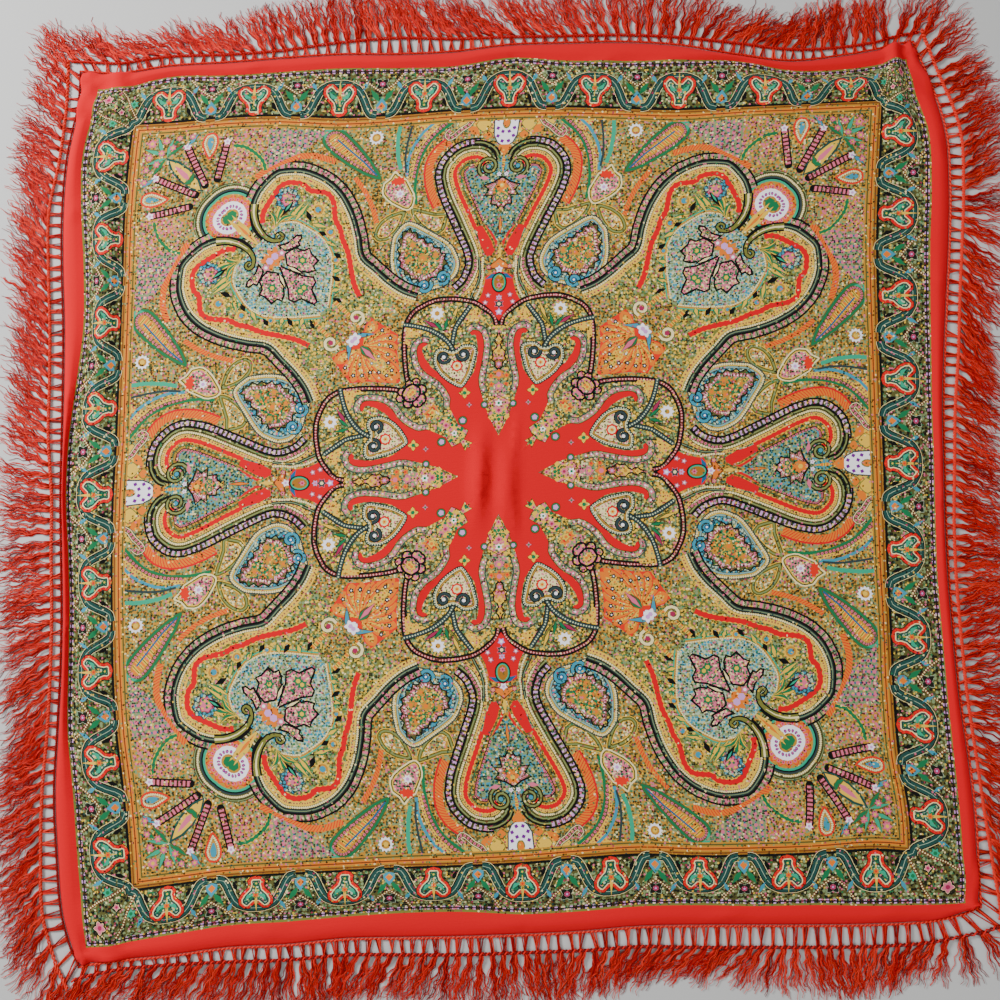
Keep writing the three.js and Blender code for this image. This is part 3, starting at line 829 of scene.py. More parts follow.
bands(PETAL_GROUND, [(1.6, "cream beads"), (2.0, "ochre"), (1.6, "turquoise")])
for petal in (
    mirror_diagonal(
        [
            (244, 244), (232.5, 216), (231, 203), (224.5, 200.5), (216.5, 204.5), (210, 201),
            (202.5, 198.5),
        ]
    ),
    np.array(
        [
            (255.5, 236.5), (261, 230), (264, 224), (261, 215.5), (264, 209), (257.5, 206),
            (249.5, 197.5), (243, 203), (237.5, 201), (234.5, 209.5), (235.5, 216), (232, 221),
            (238, 228.5), (243.5, 234.5),
        ]
    ),
    np.array(
        [
            (265, 245), (268.5, 234), (277.5, 224.5), (279, 218), (274, 217), (269.5, 220.5),
            (265.5, 218.5), (262.5, 224), (257.5, 236.5),
        ]
    ),
):
    rings(fine(petal, 4.0), [(2.1, "black")], "petal")
for at, size in (((249, 216.5), 6.5), ((218, 214), 6.5), ((269, 228), 3.6)):
    flower(at, size, 6, "green", "yellow", rim="pink")
leaf((242.5, 234.5), (233.5, 214.5), 6, "black")
leaf((241.5, 233), (234.5, 217.5), 3, "cream")
flower((252.5, 247), 11, 7, "orange", "lilac", rim="ochre")
flower((256.5, 239.5), 5, 5, "pink", "white", rim="green")
for at, size in (((307.5, 201), 9.5), ((282, 186.5), 7.5), ((250, 180), 6.0), ((228, 176.5), 5.0)):
    fill(blob(at, size, 12, 0.3), "yellow", at)
    fill(blob(at, size * 0.62, points=10), "ochre", at)
    fill(blob(at, size * 0.36, points=8), "sky", at)
for base, tip in (
    ((293.5, 208), (306.5, 214)),
    ((278.5, 190.5), (282.5, 200)),
    ((252, 173.5), (258.5, 183)),
    ((225.5, 174), (232.5, 184.5)),
    ((201.5, 171.5), (207, 183)),
):
    leaf(base, tip, 6, "black")
for base, tip, bend in (
    ((292.5, 227), (315.5, 211.5), 0.25),
    ((292, 235.5), (317.5, 215.5), 0.3),
    ((291, 208), (287.5, 189.5), -0.1),
    ((272, 192), (265.5, 179.5), -0.2),
    ((236.5, 184.5), (239, 173.5), 0.1),
    ((214.5, 184.5), (217, 174), 0.1),
):
    edged_leaf(base, tip, "green", "yellow", (7.5, 4.0))
line(
    [
        (207.5, 153), (221, 159), (236.5, 162.5), (258, 166.5), (274.5, 173.5), (285.5, 176),
        (297, 182), (316, 184.5), (327, 193), (329, 210.5), (335.5, 218.5), (337.5, 233.5),
        (332, 244.5), (315.5, 254.5), (301.5, 261.5), (290.5, 261.5),
    ],
    7.0,
    "crest red",
)
for tip, width, bend in (((315.5, 213.5), 9, 0.25), ((299.5, 222.5), 6, 0.2), ((305, 257), 6, -0.2)):
    leaf((283.5, 248.5), tip, width, "olive", bend)
    leaf((283.5, 248.5), tip, width - 1.6, "yellow", bend)
    leaf((285.5, 247.5), tip, width * 0.45, "green", bend)
fill(blob((318.5, 235.5), 15.0, 9, 0.2), "slate")
fill(blob((318.5, 235.5), 14.0, 9, 0.2), "cloud")
fill(blob((317.5, 234.5), 9.0, 7, 0.2), "rose")
fill(blob((317.5, 234.5), 8.0, 7, 0.2), "pink florets")
leaf((298.5, 241), (317, 228), 6.0, "black")
leaf((304, 237.5), (315, 230), 2.4, "turquoise")
curl = curve(
    [
        (312, 271.5), (300, 271.5), (287, 267.5), (275.5, 259.5), (270.5, 250.5), (271, 242),
        (275.5, 238.5), (279, 242), (276.5, 246), (273, 246),
    ]
)
taper(curl, 5.6, 2.2, "black")
taper(curl, 3.6, 0.8, "olive stripes")
taper(curl[: len(curl) // 2], 1.2, 0.4, "cream")
line([(202.5, 180), (186, 163), (172.5, 152.5)], 4.2, "yellow dash")
CURL = (183.5, 156)
path = spiral(CURL, 200, 1.2, 9.0, 2.0)
band(path, -2.6, 2.6, "olive")
band(path, -1.6, 1.6, "cream")
fill(blob(CURL, 3.2, 5, 0.2), "rose", CURL)
flower((159.5, 157), 7.5, 5, "white", "lilac", rim="rose")

# The fan in each corner: bars, teardrops, a long leaf and a bunch of flowers
fill([(398, 196), (398, 300), (352, 262), (372, 225)], "lattice", (398, 200))
fill(
    curve([(398, 262), (352, 270), (345, 290), (352, 302), (399, 300)], closed=True),
    "scallop field",
    (352, 285),
)
fan = curve([(351, 262), (362, 266), (372, 276), (379, 288), (381, 300)])
band(fan, -2.4, 2.4, "green scallops")
for start, end in (((343, 314), (386, 307)), ((337, 327), (383, 350))):
    path = curve([start, end], step=6)
    fill(np.concatenate([beside(path, -4.4), beside(path, 4.4)[::-1]]), "black")
    fill(blob(start, 4.4, points=12), "black")
    band(path, -2.8, 2.8, "bar beads")
    flower(end, 4.5, 5, "white", "lilac", rim="pink")
TEARDROP = curve(
    [(366, 325), (378, 318), (390, 317), (397, 322), (396, 331), (386, 335), (375, 331)],
    closed=True,
)
rings(TEARDROP, [(1.8, "scarlet"), (2.6, "cream beads"), (1.2, "ochre")], "sky", turn=0)
fill(mirror_diagonal([(330, 330), (342, 333), (356, 344), (366, 356), (372, 372)]), "teal")
fill(mirror_diagonal([(332, 332), (343, 336), (355, 346), (364, 358), (368, 368)]), "yellow")
fill(mirror_diagonal([(344, 344), (351, 347), (358, 355), (362, 362)]), "pink", (344, 344), 45)
for base, tip, style in (
    ((372, 372), (396, 366), "turquoise"),
    ((372, 372), (388, 352), "green"),
    ((376, 376), (398, 384), "turquoise"),
    ((384, 350), (398, 340), "sky"),
    ((386, 366), (398, 354), "green"),
    ((340, 344), (352, 340), "green"),
):
    edged_leaf(base, tip, "olive", style, (6.5, 4.5))
for at, size in (
    ((390, 390), 5.5),
    ((392, 374), 4.5),
    ((383, 366), 4.0),
    ((394, 360), 3.6),
    ((378, 378), 4.0),
    ((395, 346), 3.6),
):
    flower(at, size, 6, "pink", "yellow", rim="rose")

# The orange palmette on the diagonal, over the middle frame
fill(
    mirror_diagonal(
        [
            (109.5, 107), (125.5, 109), (145, 111), (161.5, 110), (172, 125.5), (182.5, 139.5),
            (169.5, 143), (163.5, 157.5),
        ]
    ),
    "scarlet",
)
PALMETTE_BASE = (150.5, 148)
PALMETTE_TIPS = [
    (180, 134.5), (168.5, 118.5), (159, 110.5), (147, 109.5), (134.5, 110), (122.5, 108.5), (111.5, 107.5)
]
for tip in PALMETTE_TIPS:
    inner_tip = np.array(tip) * 0.86 + np.array(PALMETTE_BASE) * 0.14
    round_petal(PALMETTE_BASE, tip, 15.5, "scarlet")
    round_petal(PALMETTE_BASE, tip, 13.4, "orange")
    round_petal(PALMETTE_BASE, inner_tip, 8.0, "palmette petal")
for at in ((167.5, 127.5), (158.5, 118.5), (149, 118), (140, 121), (130.5, 120.5), (122, 116.5)):
    flower(at, 2.6, 5, "black", "white", rim="teal")
for at in ((151.5, 130.5), (138.5, 131)):
    flower(at, 2.6, 5, "teal", "white", rim="yellow")
for base, tip, style in (
    ((163, 163), (164, 134.5), "sky"),
    ((152, 151), (140.5, 135.5), "green"),
    ((150, 150), (133, 133), "pink"),
):
    edged_leaf(base, tip, "brown", style, (7, 5.2))
flower((160, 157), 7, 5, "white", "lilac", rim="rose")

# The lobed frame round the middle, and what lies in it
LOBE_FRAME = curve(
    [
        (167, -1), (178.5, 2.5), (187.5, 12.5), (196, 25.5), (200, 41), (201.5, 56), (200.5, 70),
        (195.5, 84), (188.5, 95.5), (177.5, 103), (164, 106), (146.5, 106.5), (129, 105.5),
        (113, 103.5), (100.5, 100),
    ]
)
fill(np.concatenate([LOBE_FRAME, [(40, 40), (-4, -4)]]), "lobe field", (150, 60))
bands(LOBE_FRAME, [(2.0, "black"), (2.7, "frame beads"), (2.0, "black")])
fill(
    [(164.5, 8.5), (174, 15.5), (184.5, 25.5), (183.5, 32.5), (170.5, 38.5), (171, 30), (174.5, 21)],
    "yellow dots field",
)
fill([(162.5, 79), (168.5, 93), (170, 102), (151, 102), (148, 97.5), (156, 96)], "yellow dots field")
for start_way in (
    [
        (189, 31), (177.5, 39.5), (166, 47), (155, 49.5), (140.5, 52), (131, 54.5), (126.5, 60.5),
        (130, 67), (135.5, 65.5),
    ],
    [
        (172.5, 104.5), (169.5, 90), (164, 74.5), (156.5, 62.5), (148.5, 54.5), (139, 49), (131.5, 44),
        (129.5, 36), (136, 31.5), (139.5, 36),
    ],
):
    path = curve(start_way)
    band(path, -3.0, 3.0, "dark")
    band(path, -2.2, 2.2, "slate beads")
for base, tip, style in (
    ((162.5, 59), (178.5, 56), "green"),
    ((162.5, 61), (175, 71.5), "green"),
    ((162.5, 57.5), (187, 41), "moss"),
    ((172.5, 51.5), (191.5, 44), "yellow"),
    ((165.5, 65.5), (176.5, 82.5), "rose"),
):
    edged_leaf(base, tip, "dark", style, (5.5, 3.6))
fill(blob((182.5, 67.5), 9.8, 14, 0.3), "yellow")
flower((182.5, 67.5), 8.0, 9, "white", "ochre", rim="moss", depth=0.3)

# The red star and its arms, with the small hearts between them
ARM_INNER = [
    (90.5, 19.5), (99.5, 22), (107.5, 22.5), (115.5, 21), (124, 19), (134.5, 17.5), (145.5, 16.5),
    (154.5, 18), (160, 21.5), (161.5, 28), (158.5, 31.5),
]
ARM_OUTER = [
    (149, 77.5), (150.5, 82), (148, 87), (142.5, 89), (132, 88), (123.5, 84.5), (115.5, 77.5),
    (110.5, 69.5), (104, 62), (95.5, 56), (86.5, 52), (76.5, 53),
]
STAR = curve(
    [
        (43, 0), (62.5, 10), (78, 15.5), (90.5, 19.5), (99.5, 22), (107.5, 22.5), (115.5, 21),
        (124, 19), (134.5, 17.5), (145.5, 16.5), (154.5, 18), (160, 21.5), (161.5, 28), (158.5, 31.5),
        (156, 29.5), (156.5, 26), (151.5, 24), (139, 22.5), (128.5, 24), (116.5, 26.5), (106, 32.5),
        (98, 40),
    ]
)
STAR_REST = curve(
    [
        (98, 41), (102.5, 51.5), (113, 63), (122.5, 73.5), (133, 80.5), (141, 83.5), (145.5, 83),
        (147, 79), (149, 77.5), (150.5, 82), (148, 87), (142.5, 89), (132, 88), (123.5, 84.5),
        (115.5, 77.5), (110.5, 69.5), (104, 62), (95.5, 56), (86.5, 52), (76.5, 53), (65.5, 48),
        (45.5, 37.5),
    ]
)
fill(np.concatenate([[(-6, -6)], STAR, STAR_REST, [(30, 30)]]), "red")
for arm in (ARM_INNER, ARM_OUTER):
    path = curve(arm)
    bands(path, [(-0.9, "brown"), (-5.8, "blossom row"), (-1.2, "slate")])
SMALL_HEART = curve(
    [
        (97.5, 40.5), (106.5, 32.5), (118, 27.5), (129, 25), (138.5, 23), (144.5, 25.5), (147, 32.5),
        (146, 41), (141, 47), (140.5, 53), (143.5, 59), (143.5, 66), (138.5, 71), (126, 71.5),
        (113.5, 65), (103, 53),
    ],
    closed=True,
)
rings(
    SMALL_HEART,
    [
        (0.9, "dark"), (1.9, "slate beads"), (0.9, "cream"), (0.8, "olive"), (1.2, "ochre"),
        (0.8, "olive"),
    ],
    "cream dots",
)
ROUND_HEART = (122.5, 45.5)
fill(blob(ROUND_HEART, 6.8, 8, 0.15), "red", ROUND_HEART)
fill(blob(ROUND_HEART, 4.6, 8, 0.15), "cream", ROUND_HEART)
fill(blob(ROUND_HEART, 3.0, 6, 0.35), "yellow", ROUND_HEART)
fill(blob(ROUND_HEART, 1.1, points=6), "scarlet", ROUND_HEART)
for middle, start, turns in (((135, 38.5), 80, 1.4), ((133, 60), -100, -1.4)):
    path = spiral(middle, start, turns, 7.4, 1.2, steps=14)
    band(path, -2.3, 2.3, "black")
    band(path, -1.3, 1.3, "slate")
    fill(blob(middle, 2.0, points=8), "white")
for at, size, style in (((92, 37), 6.2, "yellow"), ((78.5, 32), 3.4, "pink")):
    flower(at, size, 4, style, "green", rim="brown", depth=0.5)

# The scalloped ends of the lobes over the star, on the axis and on the diagonal
fill(mirror_axis([(125, 0), (116, 5.5), (108, 11), (97, 11), (86.5, 6.5), (86, 0)]), "blossom field")
flower((111, 0), 7.5, 6, "orange", "pink", rim="green")
flower((98, 0), 5.5, 5, "pink", "yellow", rim="green")
for at in ((109.5, 8.5), (100, 8)):
    flower(at, 3.6, 5, "orange", "scarlet", rim="green")
fill(mirror_diagonal([(89.5, 89.5), (91.5, 77.5), (88.5, 69.5), (79, 65), (69.5, 63.5)]), "blossom field")
flower((75.5, 71), 6.5, 6, "orange", "red", rim="yellow")
flower((72, 72), 5.0, 6, "yellow", "orange", rim="green")
for curl, size in (((78, 15.5), 3.6), ((61.5, 39), 4.4)):
    fill(blob(curl, size + 0.9, points=12), "brown")
    fill(blob(curl, size, points=12), "green")
    fill(blob(curl, size - 1.2, 5, 0.2), "lilac")
AXIS_SPEAR = [
    (88, 0), (83, 8.5), (81, 13.5), (75, 11), (71.5, 9.5), (65, 12.5), (62, 8.5), (58, 5.5), (53.5, 4),
    (50.5, 2), (43.5, 0),
]
DIAGONAL_SPEAR = [
    (66, 66), (67, 56), (67.5, 51.5), (61.5, 49), (58, 43.5), (50.5, 32.5), (45, 34.5), (41, 37),
    (36, 27.5), (33, 33),
]
for spear, mirror, turn in ((AXIS_SPEAR, mirror_axis, 0), (DIAGONAL_SPEAR, mirror_diagonal, 45)):
    rings(fine(mirror(spear), 4.0), [(0.8, "brown")], "spear", turn=turn)
for at, size, petal in (
    ((79, 0), 4.4, "white"),
    ((71, 0), 4.6, "pink"),
    ((52, 0), 3.0, "pink"),
    ((61, 0), 2.8, "green"),
    ((57, 57), 4.2, "pink"),
    ((48, 48), 3.6, "white"),
    ((38, 38), 2.4, "pink"),
):
    flower(at, size, 6, petal, "rose" if petal == "pink" else "green", rim="yellow")
for at in ((63.5, 8.5), (45, 39)):
    fill(blob(at, 3.2, 4, 0.4), "yellow")

# The black knots where the frame's lobes meet
AXIS_KNOT = [
    (161, 0), (154, 2.5), (147.5, 5), (144, 2.5), (139.5, 4), (137, 8), (131.5, 7), (127.5, 8.5),
    (124, 5), (119, 4.5), (115.5, 1.5), (117, 0),
]
rings(fine(mirror_axis(AXIS_KNOT), 4.0), [(1.6, "black")], "knot")
for at, size in (((150, 0), 3.6), ((137, 0), 5.6)):
    flower(at, size, 4, "yellow", "ochre", rim=None, depth=0.4)
flower((122.5, 0), 3.6, 6, "pink", "lilac", rim="brown")
KNOT_LOBES = (((88, 85.5), 7.6), ((98.5, 84), 6.2), ((107, 90), 5.6), ((105, 97), 5.6), ((96, 94), 10.0))
for at, size in KNOT_LOBES:
    fill(blob(at, size, points=16), "black")
    fill(blob(at, size - 1.8, 6, 0.12), "pink florets", at)
flower((96, 93.5), 4.8, 6, "yellow", "orange", rim="brown")

# The lantern on the axis, between the two hearts' bands
LANTERN = [
    (227, 0), (221.5, 15), (215, 15.5), (202.5, 18.5), (194, 23), (189.5, 15.5), (182.5, 8), (171, 0),
]
fill(mirror_axis(LANTERN), "red")
for side_line, style, width in (
    ([(244, 18), (231, 18.5), (224.5, 17.5), (216.5, 19), (207, 21), (196.5, 26)], "cream beads", 2.2),
    ([(244, 22.5), (235, 21.5), (225, 21), (215.5, 23), (206, 27.5), (198, 31)], "slate stripes", 3.4),
    ([(242, 26.5), (231.5, 26), (224.5, 30), (213, 35.5), (203.5, 40)], "rose beads", 3.4),
):
    line(side_line, width, style)
leaf((258, 0), (236, 0), 4.4, "yellow")
fill(mirror_axis([(243, 0), (238, 5), (233, 12), (229, 14), (228, 9), (230, 4), (228, 0)]), "brown")
fill(mirror_axis([(241, 0), (237, 4.5), (232, 11.5), (230, 12), (231, 6), (230, 0)]), "orange")
flower((229, 0), 4.4, 5, "white", "lilac", rim="rose")
flower((232, 11.5), 2.8, 5, "pink", "yellow", rim="brown")
leaf((224, 2), (218, 15), 5, "blue")
fill(blob((214, 0), 8.5, stretch=1.35, points=18), "dark")
fill(blob((214, 0), 7.2, stretch=1.35, points=18), "turquoise")
fill(blob((214, 0), 5.6, stretch=1.5, points=14), "gold")
flower((211, 0), 3.4, 6, "pink", "rose", rim=None)
for at in ((200, 12), (192, 15)):
    flower(at, 3.2, 5, "pink", "white", rim="teal")
flower((197, 0), 3.6, 6, "lilac", "pink", rim="green")
flower((190, 0), 5.2, 6, "slate", "cream", rim="pink")
flower((181, 0), 4.2, 5, "lilac", "white", rim="rose")

# The gold lines round the field
fill([(-6, -6), (412.5, -6), (412.5, 412.5), (-6, 412.5), (-6, 400), (400, 400), (400, -6)], "ochre")
square_strip(401.6, 400.0, "olive")
square_strip(405.0, 401.6, "orange")
square_strip(406.2, 405.0, "brown")
square_strip(409.8, 406.2, "gold")
square_strip(410.8, 409.8, "brown")
square_strip(413.5, 410.8, "black")

# The border: a wave, palmettes in its bays, and the units between them
WAVE_STEP = 94.0  # from bay to bay
FIELD_EDGE = 400
BAY = [(416, 42), (417, 36), (424, 31), (434, 27), (446, 20), (452, 10), (453, 0)]
BAY_HEART = mirror_axis(
    [(447, 0), (454, 7), (454, 13), (448, 18.5), (441, 19), (434, 15.5), (428.5, 10), (425, 9), (420.5, 10),
     (416, 6.5), (414, 0)]
)
HEART_RINGS = [(0.9, "dark"), (3.2, "border red"), (1.1, "cream"), (2.0, "teal")]


def draw_bay(at):
    """One bend of the wave, with its palmette."""
    bend = [(out, at - across) for out, across in BAY] + [(out, at + across) for out, across in BAY[-2::-1]]
    wave = curve(bend)
    for half, style in ((5.2, "cream"), (4.7, "black"), (4.0, "wave")):
        band(wave, -half, half, style)
    rings(fine(BAY_HEART + [0, at], 3.5), HEART_RINGS, "border heart")
    for side in (-1, 1):
        leaf((436, at + side * 1.5), (444, at + side * 11), 4.2, "turquoise", side * 0.2)
    leaf((458, at), (424, at), 3.2, "yellow")
    flower((437, at), 3.6, 6, "orange", "scarlet", rim="green")
    flower((424, at), 3.0, 5, "green", "yellow", rim="dark")
    for side in (-1, 1):
        leaf((431, at + side * 20), (419, at + side * 25), 5, "black")
        leaf((444, at + side * 25), (458, at + side * 32), 4.5, "sky")


def draw_unit(middle):
    """What stands between two bends of the wave."""
    flower((452, middle), 8.5, 4, "dark", "pink", rim="pale", turn=45, depth=0.5)
    flower((452, middle), 3.6, 5, "rose", "lilac", rim=None)
    for side in (-1, 1):
        leaf((430, middle + side * 2), (446, middle + side * 13), 6, "green")
        chevron = [(466, middle + side * 24), (452, middle + side * 14), (441, middle)]
        line(chevron, 3.0, "buff beads", smooth=False)
    fill(mirror_axis([(435, 0), (427, 6), (421, 6), (419, 0)]) + [0, middle], "sky")
    fill(mirror_axis([(430, 0), (425, 4), (421, 0)]) + [0, middle], "orange")


for at in np.arange(0, FIELD_EDGE, WAVE_STEP):
    draw_bay(at)
    if at + WAVE_STEP / 2 < FIELD_EDGE:
        draw_unit(at + WAVE_STEP / 2)
for at, size in (((452, 452), 9.5), ((431, 431), 6.0)):
    fill(blob(at, size, 5, 0.25), "black")
    flower(at, size - 2.0, 5, "pink", "rose", rim="cream")
flower((440, 414), 6.0, 6, "turquoise", "green", rim="dark")
line([(470, 436), (452, 424), (436, 418), (420, 410)], 3.2, "buff beads")
square_strip(465.5, 458.5, "edge blocks")
square_strip(467.0, 465.5, "dark")
square_strip(470.0, 467.0, "moss")


# From the drawing to a mesh


def inside(points, outline):
    """Which points lie inside an outline."""
    found = np.zeros(len(points), dtype=bool)
    low, high = outline.min(axis=0), outline.max(axis=0)
    near = np.flatnonzero(np.all((points >= low) & (points <= high), axis=1))
    if len(near) == 0:
        return found
    x, y = points[near, 0][:, None], points[near, 1][:, None]
    x0, y0 = outline[:, 0], outline[:, 1]
    x1, y1 = np.roll(x0, -1), np.roll(y0, -1)
    spans = (y0 > y) != (y1 > y)
    drop = np.where(y1 == y0, 1e-12, y1 - y0)
    found[near] = np.count_nonzero(spans & (x < (x1 - x0) * (y - y0) / drop + x0), axis=1) % 2 == 1
    return found


def in_eighth(points, room=0.0):
    out, across = points[:, 0], points[:, 1]
    return (across > -room) & (across < out + room) & (out < CUT + room)


def drawn_segments():
    """The ends of every outline's segments that the drawing needs inside its eighth."""
    starts, ends = [], []
    for k, shape in enumerate(shapes):
        a = shape["outline"]
        b = np.roll(a, -1, axis=0)
        keep = in_eighth(a, 3) | in_eighth(b, 3)
        for over in shapes[k + 1 :]:
            if not keep.any():
                break
            some = np.flatnonzero(keep)
            cover = over["outline"]
            if np.any(cover.min(axis=0) > a.max(axis=0)) or np.any(cover.max(axis=0) < a.min(axis=0)):
                continue
            hidden = inside(a[some], cover) & inside(b[some], cover) & inside((a + b)[some] / 2, cover)
            keep[some[hidden]] = False
        starts.append(a[keep])
        ends.append(b[keep])
    return np.concatenate(starts), np.concatenate(ends)


def edge_points(step):
    """The outline of the eighth, in steps."""
    count = int(round(CUT / step))
    t = np.linspace(0, CUT, count + 1)
    axis = np.stack([t, t * 0], axis=1)
    diagonal = np.stack([t, t], axis=1)[1:]
    hem = np.stack([t * 0 + CUT, t], axis=1)[1:-1]
    return axis, hem, diagonal


def grid_points(step):
    """Evenly spread points, closer together in the hem."""
    rows = []
    out = step
    while out < CUT:
        gap = step if out < PRINT - 10 else step * 0.75
        across = np.arange(gap / 2, out - gap / 2, gap)
        rows.append(np.stack([across * 0 + out, across], axis=1))
        out += gap
    return np.concatenate(rows)


CLOSE_GRID = 5.5  # how far apart the points lie over the plain red
CLOSE_REACH = 96


def close_points():
    """Extra points over the middle, where the plain red shows every wrinkle."""
    rows = []
    for out in np.arange(5, CLOSE_REACH, CLOSE_GRID):
        across = np.arange(1.5, out - 1, CLOSE_GRID)
        rows.append(np.stack([out + 0 * across, across], axis=1))
    return np.concatenate(rows)


def triangulate(starts, ends, extra, border_step):
    """Triangles over the eighth that keep to every segment."""
    axis, hem, diagonal = edge_points(border_step)
    round_trip = np.concatenate([axis, hem, diagonal[::-1]])
    border = np.stack([round_trip, np.roll(round_trip, -1, axis=0)], axis=1)
    pairs = np.concatenate([np.stack([starts, ends], axis=1), border]) if len(starts) else border
    flat = np.round(pairs.reshape(-1, 2), 2)
    if len(extra):
        gaps = np.array([np.min(np.sum((flat - p) ** 2, axis=1)) for p in extra])
        extra = extra[gaps > 2.0**2]
    points, index = np.unique(flat, axis=0, return_inverse=True)
    segments = index.reshape(-1, 2)
    segments = segments[segments[:, 0] != segments[:, 1]]
    everything = np.concatenate([points, extra]) if len(extra) else points
    result = delaunay_2d_cdt([Vector(p) for p in everything.tolist()], segments.tolist(), [], 0, 0.01)
    points = np.array([tuple(p) for p in result[0]])
    triangles = np.array(result[2])
    middles = points[triangles].mean(axis=1)
    triangles = triangles[in_eighth(middles)]
    out, across = points[:, 0], points[:, 1]
    across = np.where(np.abs(across) < 0.02, 0, across)
    meet = np.abs(out - across) < 0.02
    across = np.where(meet, out, across)
    out = np.where(np.abs(out - CUT) < 0.02, CUT, out)
    points = np.stack([out, across], axis=1)
    a, b, c = points[triangles[:, 0]], points[triangles[:, 1]], points[triangles[:, 2]]
    size = (b[:, 0] - a[:, 0]) * (c[:, 1] - a[:, 1]) - (c[:, 0] - a[:, 0]) * (b[:, 1] - a[:, 1])
    return points, triangles[np.abs(size) > 1e-5]


def topmost(middles):
    """The highest shape over each point."""
    top = np.zeros(len(middles), dtype=int)
    for k, shape in enumerate(shapes):
        top[inside(middles, shape["outline"])] = k
    return top


def along_guide(shape, corners):
    """How far along its guide, and how far beside its middle, each triangle corner lies."""
    guide = shape["guide"]
    if shape["closed"]:
        guide = np.concatenate([guide, guide[:1]])
    steps = np.diff(guide, axis=0)
    lengths = np.linalg.norm(steps, axis=1) + 1e-9
    reached = np.concatenate([[0], np.cumsum(lengths)])
    count = len(steps)

    def foot(points, k):
        away = points - guide[k]
        share = np.clip(np.sum(away * steps[k], axis=-1) / lengths[k] ** 2, 0, 1)
        gap = away - steps[k] * share[..., None]
        side = (steps[k][..., 0] * away[..., 1] - steps[k][..., 1] * away[..., 0]) / lengths[k]
        return share, np.linalg.norm(gap, axis=-1), side

    middles = corners.mean(axis=1)
    all_steps = np.broadcast_to(np.arange(count), (len(middles), count))
    gaps = foot(middles[:, None], all_steps)[1]
    nearest = np.argmin(gaps, axis=1)
    window = nearest[:, None] + np.arange(-4, 5)
    lap = np.floor_divide(window, count) if shape["closed"] else window * 0
    k = window % count if shape["closed"] else np.clip(window, 0, count - 1)
    k = np.broadcast_to(k[:, None], (len(corners), 3, 9))
    lap = np.broadcast_to(lap[:, None], k.shape)
    share, gap, side = foot(corners[:, :, None], k)
    best = np.argmin(gap, axis=2)[..., None]
    s = np.take_along_axis(reached[k] + share * lengths[k] + lap * reached[-1], best, 2)[..., 0]
    t = np.take_along_axis(side, best, 2)[..., 0]
    return np.stack([s, t - shape["middle"]], axis=-1)


def from_place(shape, corners):
    away = corners - np.array(shape["at"])
    t = math.radians(-shape["turn"])
    x = away[..., 0] * math.cos(t) - away[..., 1] * math.sin(t)
    y = away[..., 0] * math.sin(t) + away[..., 1] * math.cos(t)
    return np.stack([x, y], axis=-1)


def dress(points, triangles, top):
    """The pattern's place, kind and dyes on each triangle."""
    placed = np.zeros((len(triangles), 3, 3))
    dyes = np.zeros((len(triangles), 3, 4))
    marks = np.zeros((len(triangles), 3))
    flecks = np.zeros(len(triangles))
    for k in np.unique(top):
        shape = shapes[k]
        mine = np.flatnonzero(top == k)
        corners = points[triangles[mine]]
        kind, *names, period, share, fleck = STYLES[shape["style"]]
        if shape["guide"] is None:
            placed[mine, :, :2] = from_place(shape, corners)
            half = 1e3
        else:
            placed[mine, :, :2] = along_guide(shape, corners)
            half = shape["half"]
        placed[mine, :, 2] = kind
        dyes[mine] = [DYES[name] + (1.0,) for name in names]
        marks[mine] = (period, share, half)
        flecks[mine] = fleck
    return placed, dyes, marks, flecks


def mirrored(points, triangles):
    """The eighth in all its eight places, with points that meet made one."""
    out, across = points[:, 0], points[:, 1]
    places = []
    faces = []
    for u, v in ((across, out), (out, across)):
        for sign_u in (1, -1):
            for sign_v in (1, -1):
                faces.append(triangles + len(points) * len(places))
                places.append(np.stack([u * sign_u, v * sign_v], axis=1))
    flat = np.concatenate(places)
    faces = np.concatenate(faces)
    _, first, index = np.unique(np.round(flat, 2), axis=0, return_index=True, return_inverse=True)
    flat = flat[first]
    faces = index.reshape(-1)[faces]
    a, b, c = flat[faces[:, 0]], flat[faces[:, 1]], flat[faces[:, 2]]
    turned = (b[:, 0] - a[:, 0]) * (c[:, 1] - a[:, 1]) - (c[:, 0] - a[:, 0]) * (b[:, 1] - a[:, 1]) < 0
    return flat, faces, turned


def underside():
    """The cloth's underside over one eighth, with the edge of the print drawn in."""
    across = np.arange(0, PRINT + 1, 10.0)
    across[-1] = PRINT
    line = np.stack([across * 0 + PRINT, across], axis=1)
    return triangulate(line[:-1], line[1:], grid_points(UNDER_GRID), HEM_STEP)


def height(flat, top):
    """The cloth's two faces over the floor, with a hem rolled at the edge."""
    if not top:
        around = [(u, v) for u in (-UNDER_ROOM, 0, UNDER_ROOM) for v in (-UNDER_ROOM, 0, UNDER_ROOM)]
        return np.min([rise(flat[:, 0] + u, flat[:, 1] + v, False) for u, v in around], axis=0)
    z = rise(flat[:, 0], flat[:, 1])
    edge = CUT - np.max(np.abs(flat), axis=1)
    rolled = ROLL * np.exp(-(((edge - 3.0) / 2.2) ** 2)) - ROLL * np.exp(-((edge / 1.2) ** 2))
    return z + WALL + rolled


def rim_faces(flat, first_under):
    """Triangles that join the two faces round the edge."""
    rim = np.flatnonzero(np.max(np.abs(flat), axis=1) > CUT - 0.01)
    turn = np.arctan2(flat[rim, 1], flat[rim, 0])
    loops = []
    for face in (rim < first_under, rim >= first_under):
        loops.append(rim[face][np.argsort(turn[face])])
    over, under = loops
    after, below = np.roll(over, -1), np.roll(under, -1)
    return np.concatenate([np.stack([over, under, below], axis=1), np.stack([over, below, after], axis=1)])


